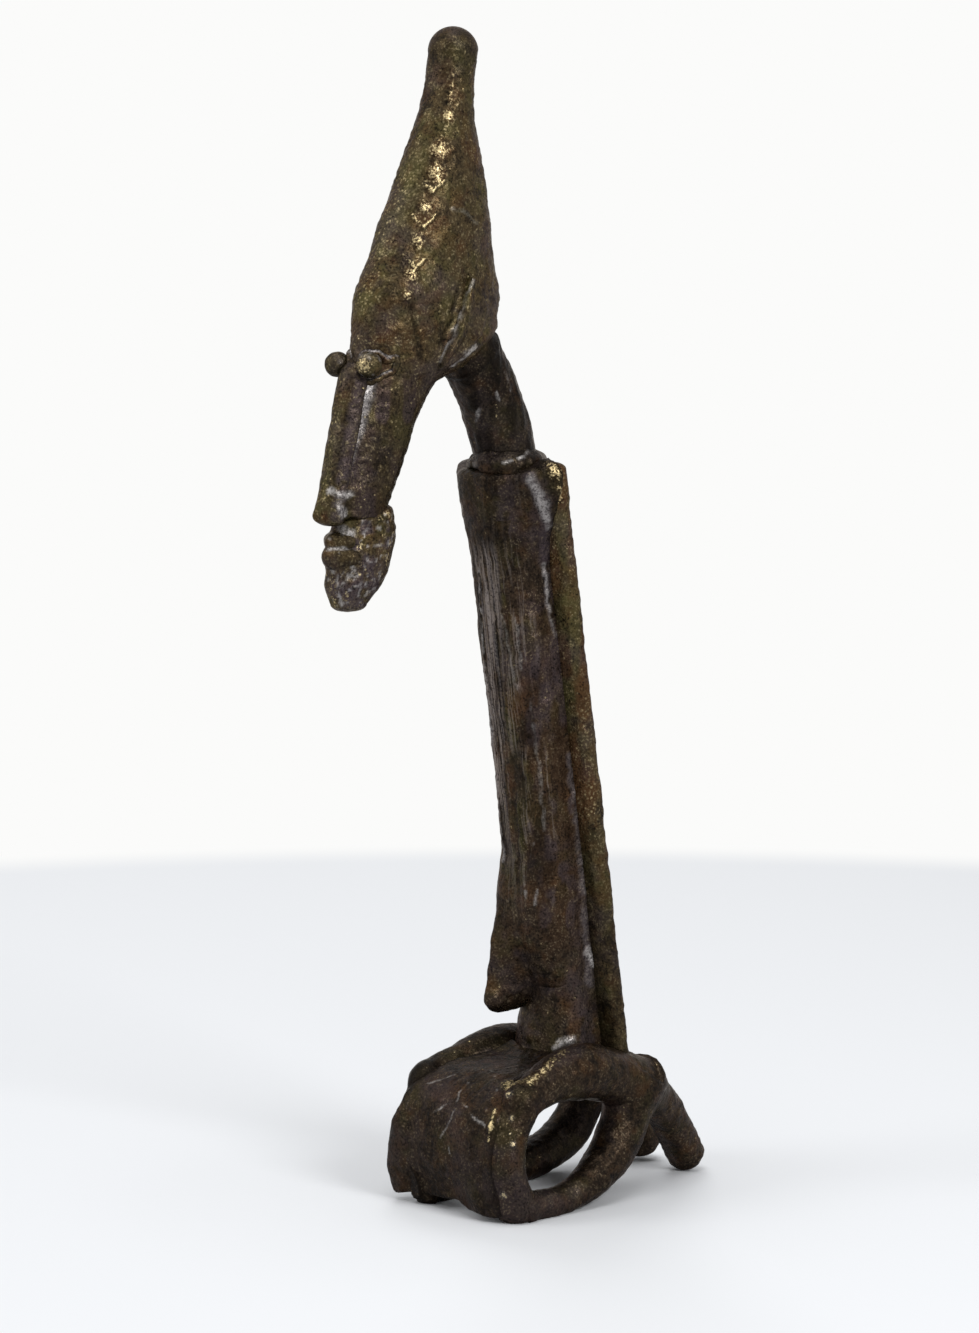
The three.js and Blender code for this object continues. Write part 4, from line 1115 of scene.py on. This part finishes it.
castForm("neck", {"head": 1.2, "torso": 1.8}, dark, carveNeck, lumps=0.8)
turn = np.linspace(0, 2 * np.pi, collar["count"], endpoint=False)
ring = np.array(onTorso(collar["radius"] * np.cos(turn), collar["radius"] * np.sin(turn),
                        length + collar["rise"] - collar["fall"] * collar["radius"] * np.sin(turn))).T
thinner = 1 - collar["thin"] * np.maximum(np.cos(turn - np.radians(collar["thinAt"])), 0)
uneven = 1 + collar["uneven"] * noise(ring, collar["unevenSize"], 96)
roll = (thinner * uneven)[:, None] * [collar["rollOut"], collar["rollUp"]]
cast("neck_collar", loopMesh(ring, roll, collar["step"]), {"neck": 2.6, "torso": 2.2}, dark, carveCollar)

# Head and cap are one skin. A crest of worn crumbs runs down its left side over three chevrons, with
# green stains beside it, a fold in front of the ear flap, and a pale crease beside the nose, which is
# partly pale dust and partly a painted highlight.
headMarks = {
    "lines": {
        "crest": dict(paths=[[(3.4, -31.0, 194.7), (3.8, -32.5, 187.0), (4.4, -35.5, 179.6),
                              (5.0, -36.9, 175.0), (5.2, -39.3, 169.0), (5.7, -41.5, 162.5),
                              (5.7, -43.5, 157.3)]],
                      width=0.9, height=0.1, brass=0.4),
        "crumbs": dict(spots=[(3.6, -31.2, 193.0, 0.8), (3.8, -32.2, 188.0, 1.3), (4.3, -34.6, 182.0, 1.9),
                              (4.6, -35.8, 178.3, 2.0), (4.9, -38.2, 172.6, 1.3), (5.2, -40.3, 166.9, 1.5),
                              (5.6, -42.0, 161.5, 1.4), (5.7, -43.2, 158.2, 1.0)],
                       width=1.35, height=0.25, firm=0.5, brass=0.74, rust=0.6),
        "pale": dict(paths=[[(6.4, -33.7, 172.5), (6.6, -31.6, 172.2), (6.3, -28.3, 170.1)]],
                     width=0.5, height=0.2, firm=0.5, dust=0.25, olive=0.5),
        "green": dict(spots=[(2.7, -46.2, 161.0, 1.6), (7.1, -37.9, 159.6, 1.3), (3.4, -43.0, 168.0, 1.2),
                             (2.8, -40.5, 175.0, 1.2)], olive=1.0, brass=0.3),
        # fold is cut in and darkened with painted shade.
        "fold": dict(paths=[[(6.1, -42.5, 156.4), (6.1, -41.9, 153.1), (6.5, -40.9, 149.0),
                             (6.4, -40.7, 147.0)]],
                     width=0.8, height=-0.4, painted_shade=0.9),
        # crease and shine are pale dust in the cheek's crease, and partly a painted highlight on it.
        "crease": dict(paths=[[(3.0, -48.9, 143.6), (3.0, -49.3, 141.6), (2.8, -50.2, 139.2),
                               (2.6, -51.1, 136.2), (2.2, -52.6, 133.1), (2.2, -53.9, 130.8),
                               (1.9, -54.9, 128.9)]],
                       width=1.7, height=-0.2, firm=0.5, dust=0.4, plum=1.0),
        "shine": dict(paths=[[(2.9, -49.0, 143.0), (2.7, -49.7, 141.0)]],
                      width=1.2, height=0.1, firm=0.5, dust=0.9),
        "rust": dict(spots=[(4.2, -47.0, 150.7, 2.2)], rust=0.9),
    },
    "nostril": {
        "wing": dict(paths=[[(1.7, -56.3, 126.1), (2.7, -55.5, 125.5), (3.1, -53.8, 125.2)]],
                     width=1.3, firm=0.2, dust=0.8),
        "under": dict(paths=[[(2.9, -55.3, 123.5), (3.0, -54.6, 122.0)]],
                      width=1.2, firm=0.1, dust=0.6, plum=1.0),
    },
    # The torn tip is cut in, stained rust and darkened with painted shade.
    "torn": {"tip": dict(paths=[[(0.9, -57.5, 122.0), (1.5, -57.2, 121.0)]],
                         width=1.2, height=-0.5, firm=0.2, rust=0.9, painted_shade=0.5)},
    "flap": {
        "front": dict(paths=[[(8.4, -30.6, 161.2), (7.8, -32.3, 157.3), (7.6, -33.6, 153.1),
                              (7.4, -35.6, 149.8), (6.8, -36.5, 147.0)]],
                      width=0.5, height=0.2, firm=0.1, dust=0.5),
        # shade paints a shadow beside the flap's front edge.
        "shade": dict(paths=[[(8.1, -32.0, 161.0), (7.5, -33.6, 157.3), (7.3, -34.9, 153.1),
                              (7.1, -36.9, 149.8)]],
                      width=0.9, height=-0.3, painted_shade=0.9),
        "dust": dict(paths=[[(6.5, -33.6, 146.7), (6.8, -32.4, 147.6), (7.2, -31.0, 148.6),
                             (7.3, -29.6, 149.5)]],
                     width=1.2, height=0.3, dust=0.7),
    },
    "chevrons": [(5.0, -36.9, 175.1), (5.3, -39.2, 169.2), (5.7, -41.5, 162.5)],
    "arms": [(-1.6, -1.1, 2.3), (0.5, 2.2, 2.1)],
    "chevron": dict(width=0.5, height=0.3, firm=0.5, brass=0.9),
    "groove": [(1.9, -52.9, 140.0), (1.7, -54.0, 135.0), (1.6, -55.0, 130.0)],
    "lowPatches": [dict(size=2.6, seed=114, limits=(-0.4, 0.3), stretch=(1, 1, 0.5), firm=0.3,
                        rust=0.5, plum=0.75)],
    "upperPatches": [dict(size=4.5, seed=102, limits=(0.1, 0.8), olive=0.45)],
    "patches": [dict(size=3.5, seed=101, limits=(0.0, 0.8), rust=0.4),
                dict(size=0.8, seed=113, limits=(0.45, 0.9), brass=0.35)],
    "rise": 3.4, "tuck": 0.6, "tuckTo": (120.5, 126.0), "low": (138, 150), "knob": (192, 197),
    "knobTop": (197.5, 201.5), "shade": 0.08, "lowShade": 0.42, "knobShade": 0.3, "sheenFrom": (150, 158),
    "sheenTo": (176, 188), "lumpSize": 1.1, "lump": 0.1, "pitSize": 0.6, "pit": 0.06,
    "grooveReach": (1.0, 5.0), "noseSeam": 0.2, "noseShade": 0.2,
}


# The head's underside rises towards the back, where the neck enters it.
def shapeHead(points):
    behind, above = (points[:, k] - onHead(0, 0, 0)[k] for k in (1, 2))
    rise = headMarks["rise"] * smooth(behind, 3, 14) * (1 - smooth(above, 0, 9))
    return points + rise[:, None] * [0, 0, 1]


# The skin's own displacement fades out at the knob's top, where the CAD box ends.
def headSkin(marks):
    lumps = np.abs(noise(marks.points, headMarks["lumpSize"], 111))
    pits = noise(marks.points, headMarks["pitSize"], 112)
    marks.height += headMarks["lump"] * lumps + headMarks["pit"] * pits
    marks.draw(headMarks["lines"])
    before, behind = headMarks["arms"]
    for apex in np.array(headMarks["chevrons"]):
        marks.line([apex + before, apex, apex + behind], **headMarks["chevron"])
    marks.draw(headMarks["nostril"])
    # Painted shade fades out along the groove beside the nose, and darkens the head towards the bottom and at
    # the knob.
    marks.masks["painted_shade"] *= smooth(awayFrom(marks.points, headMarks["groove"]), *headMarks["grooveReach"])
    low = 1 - smooth(marks.z, *headMarks["low"])
    knob = smooth(marks.z, *headMarks["knob"])
    marks.masks["painted_shade"] += headMarks["shade"] + headMarks["lowShade"] * low + headMarks["knobShade"] * knob
    marks.mottle(headMarks["lowPatches"], low)
    marks.height -= headMarks["tuck"] * (1 - smooth(marks.z, *headMarks["tuckTo"]))
    # A painted sheen: the cap's faces towards the front are stained olive and brass.
    sheen = smooth(-marks.facesBack, 0.5, 1.0) * smooth(marks.z, *headMarks["sheenFrom"])
    marks.stain(sheen * (1 - smooth(marks.z, *headMarks["sheenTo"])), 0.1, olive=0.8, brass=0.3)
    marks.draw(headMarks["flap"])
    marks.mottle(headMarks["patches"])
    marks.mottle(headMarks["upperPatches"], 1 - low)
    marks.height *= 1 - smooth(marks.z, *headMarks["knobTop"])


castForm("head", {"neck": 1.0, "beard": 2.0, "nose": 2.4}, worn, headSkin, shape=shapeHead)
castForm("cap", {"neck": 1.0}, worn, headSkin, shape=shapeHead)


def carveNose(marks):
    # Painted shade over the whole nose, and lighter painted shade in its seams.
    marks.masks["painted_shade"] = headMarks["noseSeam"] * marks.masks["painted_shade"] + headMarks["noseShade"]
    marks.stain(smooth(-marks.facesBack - 0.5 * marks.facesLeft, 0.4, 1.1), olive=0.7, brass=0.25)
    marks.draw(headMarks["nostril"])
    marks.draw(headMarks["torn"])
    marks.stain(smooth(marks.facesLeft, 0.5, 0.9), plum=0.7)


castForm("nose", {"head": 3.2, "beard": 2.0}, worn, carveNose)
print("neck, head and cap")

# Eyes: worn balls in a raised rim that ends in a tail. The rim is drawn in a plane that faces
# forward and outward, and then settled on the head.
rim = {
    "outline": [(-2.4, -0.2), (-1.7, 1.7), (0.1, 2.5), (1.9, 1.9), (3.4, 0.9), (5.4, 1.3), (4.9, -0.6),
                (3.1, -1.5), (1.4, -2.3), (-0.6, -2.5), (-1.9, -1.6)],
    "upper": 0.55, "lower": 0.35, "turnsAt": (-1.4, 0.4), "lift": 0.1, "facing": 48.0, "step": 0.16,
    "count": 90, "even": 4,
}
eyeMarks = {
    "olive": 0.3, "brass": 0.75, "underShade": 0.7, "farShade": 0.3,
    "patches": [dict(size=1.0, seed=141, limits=(0.2, 0.8), dust=0.4)],
}


def ballMesh(middle, radius, step):
    polar = np.linspace(0, np.pi, max(int(np.pi * radius / step), 8))[:, None]
    around = np.linspace(0, 2 * np.pi, max(int(2 * np.pi * radius / step), 12), endpoint=False)[None]
    x, y = -np.sin(polar) * np.cos(around), np.sin(polar) * np.sin(around)
    rings = np.stack(np.broadcast_arrays(x, y, np.cos(polar) + 0 * around), -1)
    return closedMesh(middle + radius * rings)


def carveEye(marks):
    front = smooth(-marks.facesBack + 0.3 * marks.facesLeft, 0.5, 1.1)
    marks.masks["olive"] += eyeMarks["olive"]
    # The near eye's front, towards the camera, is bared to brass, partly as worn metal and partly as a
    # painted highlight. Painted shade darkens the balls' undersides and the whole far eye.
    bare = eyeMarks["brass"] * front * (marks.x > 0)
    marks.masks["brass"] = np.maximum(marks.masks["brass"], bare)
    under = smooth(-marks.facesUp, 0.2, 0.9)
    marks.masks["painted_shade"] += eyeMarks["underShade"] * under + eyeMarks["farShade"] * (marks.x < 0)
    marks.mottle(eyeMarks["patches"], 1 - front)


def paintRimHighlight(marks):
    # A painted highlight: the rim's upward faces are stained pale plum and dust.
    marks.stain(smooth(marks.facesUp, 0.0, 0.8), plum=0.8, dust=0.5)


for word, side in sides:
    forward = -faceReach(face["eyeDrop"]) - face["noseHigh"] + face["eyeBack"]
    middle = np.array(onHead(side * face["eyeSpread"], forward, -face["eyeDrop"]))
    ball = ballMesh(middle, face["eyeRadius"], rim["step"])
    cast(word + "_eye", ball, {}, worn, carveEye, lumps=0.4, grain=0.8)
    sine, cosine = sinCos(rim["facing"])
    around = np.linspace(0, 1, rim["count"], endpoint=False)
    outline = curveThrough(rim["outline"] + rim["outline"][:1], around)
    line = middle + outline[:, :1] * [side * cosine, sine, 0] + outline[:, 1:] * [0, 0, 1]
    line = settled(line, forms["head"], rim["lift"])
    even = rim["even"]
    line = sum(np.roll(line, k, axis=0) for k in range(-even, even + 1)) / (2 * even + 1)
    thicker = (rim["upper"] - rim["lower"]) * smooth(outline[:, 1:], *rim["turnsAt"])
    radius = (rim["lower"] + thicker) * [1, 1]
    cast(word + "_eyelid", loopMesh(line, radius, rim["step"]), {"head": 0.8}, worn, paintRimHighlight, lumps=0.4)

# Beard and lips
beardMarks = {
    "lines": {
        "cuts": dict(paths=[[(1.4, -55.2, 113.0), (1.4, -54.6, 109.5), (1.3, -53.6, 106.8)],
                            [(2.7, -54.3, 112.5), (3.0, -53.3, 111.2), (3.1, -51.9, 109.1)],
                            [(3.4, -54.5, 113.3), (3.8, -50.8, 111.1)]], width=0.4, height=-0.15, dust=0.6),
        "edge": dict(paths=[[(3.7, -45.6, 122.8), (3.5, -45.0, 119.1), (3.9, -45.8, 114.2)]],
                     width=1.4, brass=0.7, rust=0.7),
        "mouth": dict(paths=[[(1.1, -53.4, 119.7), (2.6, -53.2, 119.0)]], width=1.5, firm=0.2, dust=0.9),
    },
    "patches": [dict(size=2.5, seed=122, limits=(-0.2, 0.6), plum=0.9),
                dict(size=0.55, seed=121, limits=(0.1, 0.7), dust=0.5),
                dict(size=0.9, seed=123, limits=(0.1, 0.7), firm=0.1, brass=0.5)],
    "lipLines": {
        "slit": dict(paths=[[(0.0, -55.7, 116.4), (1.5, -55.2, 116.4), (2.6, -54.0, 116.4),
                             (3.5, -52.6, 116.3)]],
                     width=0.5, firm=0.5, dust=0.9),
    },
    "lipPatches": [dict(size=0.8, seed=131, limits=(0.4, 0.9), dust=0.4)],
    "seamShade": 0.3, "top": 0.3, "topFrom": (115, 119),
}


def carveBeard(marks):
    # The painted shade in its seams is lighter.
    marks.masks["painted_shade"] *= beardMarks["seamShade"]
    left = smooth(marks.facesLeft, 0.0, 0.6)
    marks.height += beardMarks["top"] * smooth(marks.z, *beardMarks["topFrom"]) * left
    marks.draw(beardMarks["lines"])
    marks.mottle(beardMarks["patches"])


castForm("beard", {"head": 2.0, "nose": 2.0, "upper_lip": 1.6, "lower_lip": 1.8}, worn, carveBeard, grain=1.4)


def carveLips(marks):
    marks.draw(beardMarks["lipLines"])
    marks.mottle(beardMarks["lipPatches"])


castForm("upper_lip", {"beard": 1.6, "lower_lip": 0.8}, worn, carveLips, lumps=0.8)
castForm("lower_lip", {"beard": 1.8, "upper_lip": 0.8}, worn, carveLips, lumps=0.8)

# Ear flaps: a sheet on the head's side with a raised front edge, from its apex to the corner between
# face and neck. Each row gives height, front edge and rear edge.
flap = {
    "rows": [[161.8, -30.6, -30.0], [158.6, -31.9, -26.6], [155.0, -33.2, -25.4], [151.5, -34.6, -27.6],
             [148.5, -36.2, -31.6], [145.4, -36.8, -35.6]],
    "ridge": 1.25, "sheet": 0.35, "under": 1.0, "frontEdge": 0.12, "ridgeTo": 0.45, "rearEdge": 0.2,
    "endEdge": 0.08, "count": 70, "columns": 36,
}


def flapMesh(side):
    rows = curveThrough(flap["rows"], np.linspace(0, 1, flap["count"]))
    share = np.linspace(0, 1, flap["columns"])[None]
    z = rows[:, :1] + 0 * share
    y = rows[:, 1:2] + (rows[:, 2:] - rows[:, 1:2]) * share
    onCap = z >= neckTop[2] + body["headRise"]
    out = np.maximum(sideOf(forms["head"], y, z) * ~onCap, sideOf(forms["cap"], y, z) * onCap)
    edge = smooth(share, 0, flap["frontEdge"]) * smooth(1 - share, 0, flap["rearEdge"])
    along = np.linspace(0, 1, flap["count"])[:, None]
    edge = edge * smooth(along, 0, flap["endEdge"]) * smooth(1 - along, 0, flap["endEdge"])
    ridge = (flap["ridge"] - flap["sheet"]) * (1 - smooth(share, flap["frontEdge"], flap["ridgeTo"]))
    lift = edge * (flap["sheet"] + ridge)
    layers = [np.stack([side * (out + high), y, z], -1) for high in (lift, lift - flap["under"])]
    return sheetMesh(*(layers if side < 0 else [layer[:, ::-1] for layer in layers]))


for word, side in sides:
    cast(word + "_ear_flap", flapMesh(side), {}, worn, headSkin)
print("face")
print("cast pieces:", len(finished), "triangles:", sum(count for _, count in finished))

# Studio: a plain pale floor that fades into the wall's white, soft light from the right and above.
studio = {
    "floor": "#eceef1", "wall": "#fbfbfa", "floorRadius": 3.0, "fadeFrom": 0.4, "fadeTo": 0.44,
    "ambient": 0.28,
}
floorMesh = bpy.data.meshes.new("floor")
r = studio["floorRadius"]
floorMesh.from_pydata([(-r, -r, 0), (r, -r, 0), (r, r, 0), (-r, r, 0)], [], [(0, 1, 2, 3)])
floor = bpy.data.objects.new("floor", floorMesh)
bpy.context.scene.collection.objects.link(floor)


# 1 for the rays that should see the wall itself: the camera's, reflections and what shows through.
def straightOf(tree):
    rays = add(tree, "LightPath").outputs
    seen = rays["Is Camera Ray"]
    for kind in ("Is Glossy Ray", "Is Transmission Ray"):
        seen = add(tree, "Math", {0: seen, 1: rays[kind]}, operation="MAXIMUM").outputs[0]
    return seen


paper = bpy.data.materials.new("paper_matt_white")
paper.use_nodes = True
tree = paper.node_tree
tree.nodes.clear()
place = add(tree, "TexCoord").outputs["Object"]
away = add(tree, "VectorMath", {0: place}, operation="LENGTH").outputs["Value"]
sockets = {"Value": away, 1: studio["fadeFrom"], 2: studio["fadeTo"]}
fade = add(tree, "MapRange", sockets, interpolation_type="SMOOTHSTEP").outputs["Result"]
seen = straightOf(tree)
share = add(tree, "Math", {0: fade, 1: seen}, operation="MULTIPLY").outputs[0]
matt = add(tree, "BsdfDiffuse", {"Color": linear(studio["floor"])}).outputs[0]
glow = add(tree, "Emission", {"Color": linear(studio["wall"])}).outputs[0]
blend = add(tree, "MixShader", {0: share, 1: matt, 2: glow}).outputs[0]
add(tree, "OutputMaterial", {"Surface": blend})
floorMesh.materials.append(paper)

world = bpy.data.worlds.new("studio")
bpy.context.scene.world = world
world.use_nodes = True
tree = world.node_tree
tree.nodes.clear()
dim = add(tree, "Background", {"Color": (1, 1, 1, 1), "Strength": studio["ambient"]}).outputs[0]
wall = add(tree, "Background", {"Color": linear(studio["wall"]), "Strength": 1.0}).outputs[0]
shown = add(tree, "MixShader", {0: straightOf(tree), 1: dim, 2: wall}).outputs[0]
add(tree, "OutputWorld", {"Surface": shown})


def softbox(name, azimuth, elevation, distance, size, power):
    data = bpy.data.lights.new(name, "AREA")
    data.shape, data.size, data.energy = "DISK", size, power
    lamp = bpy.data.objects.new(name, data)
    sineA, cosineA = sinCos(azimuth)
    sineE, cosineE = sinCos(elevation)
    out = Vector((sineA * cosineE, -cosineA * cosineE, sineE))
    lamp.location = out * distance + Vector((0, 0, 0.09))
    lamp.rotation_mode = "QUATERNION"
    lamp.rotation_quaternion = out.to_track_quat("Z", "Y")
    bpy.context.scene.collection.objects.link(lamp)
    return lamp


softbox("softbox_right", azimuth=85, elevation=28, distance=1.0, size=0.42, power=4.4)
softbox("softbox_left", azimuth=-25, elevation=30, distance=1.1, size=0.6, power=2.2)
softbox("softbox_above", azimuth=20, elevation=80, distance=1.2, size=1.0, power=7.0)
behind = softbox("softbox_back_left", azimuth=235, elevation=40, distance=1.2, size=0.6, power=3.5)
behind.visible_glossy = False

cameraFacts = {
    "at": (484.25, -455.58, 157.16), "lookAt": (-7.67, -12.66, 93.42), "lens": 102.6, "sensor": 36.0,
}
camera = bpy.data.objects.new("camera", bpy.data.cameras.new("camera"))
camera.data.lens, camera.data.sensor_width = cameraFacts["lens"], cameraFacts["sensor"]
eye = np.array(cameraFacts["at"]) * millimetre + home
target = np.array(cameraFacts["lookAt"]) * millimetre + home
camera.location = eye
camera.rotation_mode = "QUATERNION"
camera.rotation_quaternion = Vector(target - eye).to_track_quat("-Z", "Y")
bpy.context.scene.collection.objects.link(camera)
bpy.context.scene.camera = camera
bpy.context.scene.view_settings.view_transform = "Standard"
print("studio and camera")
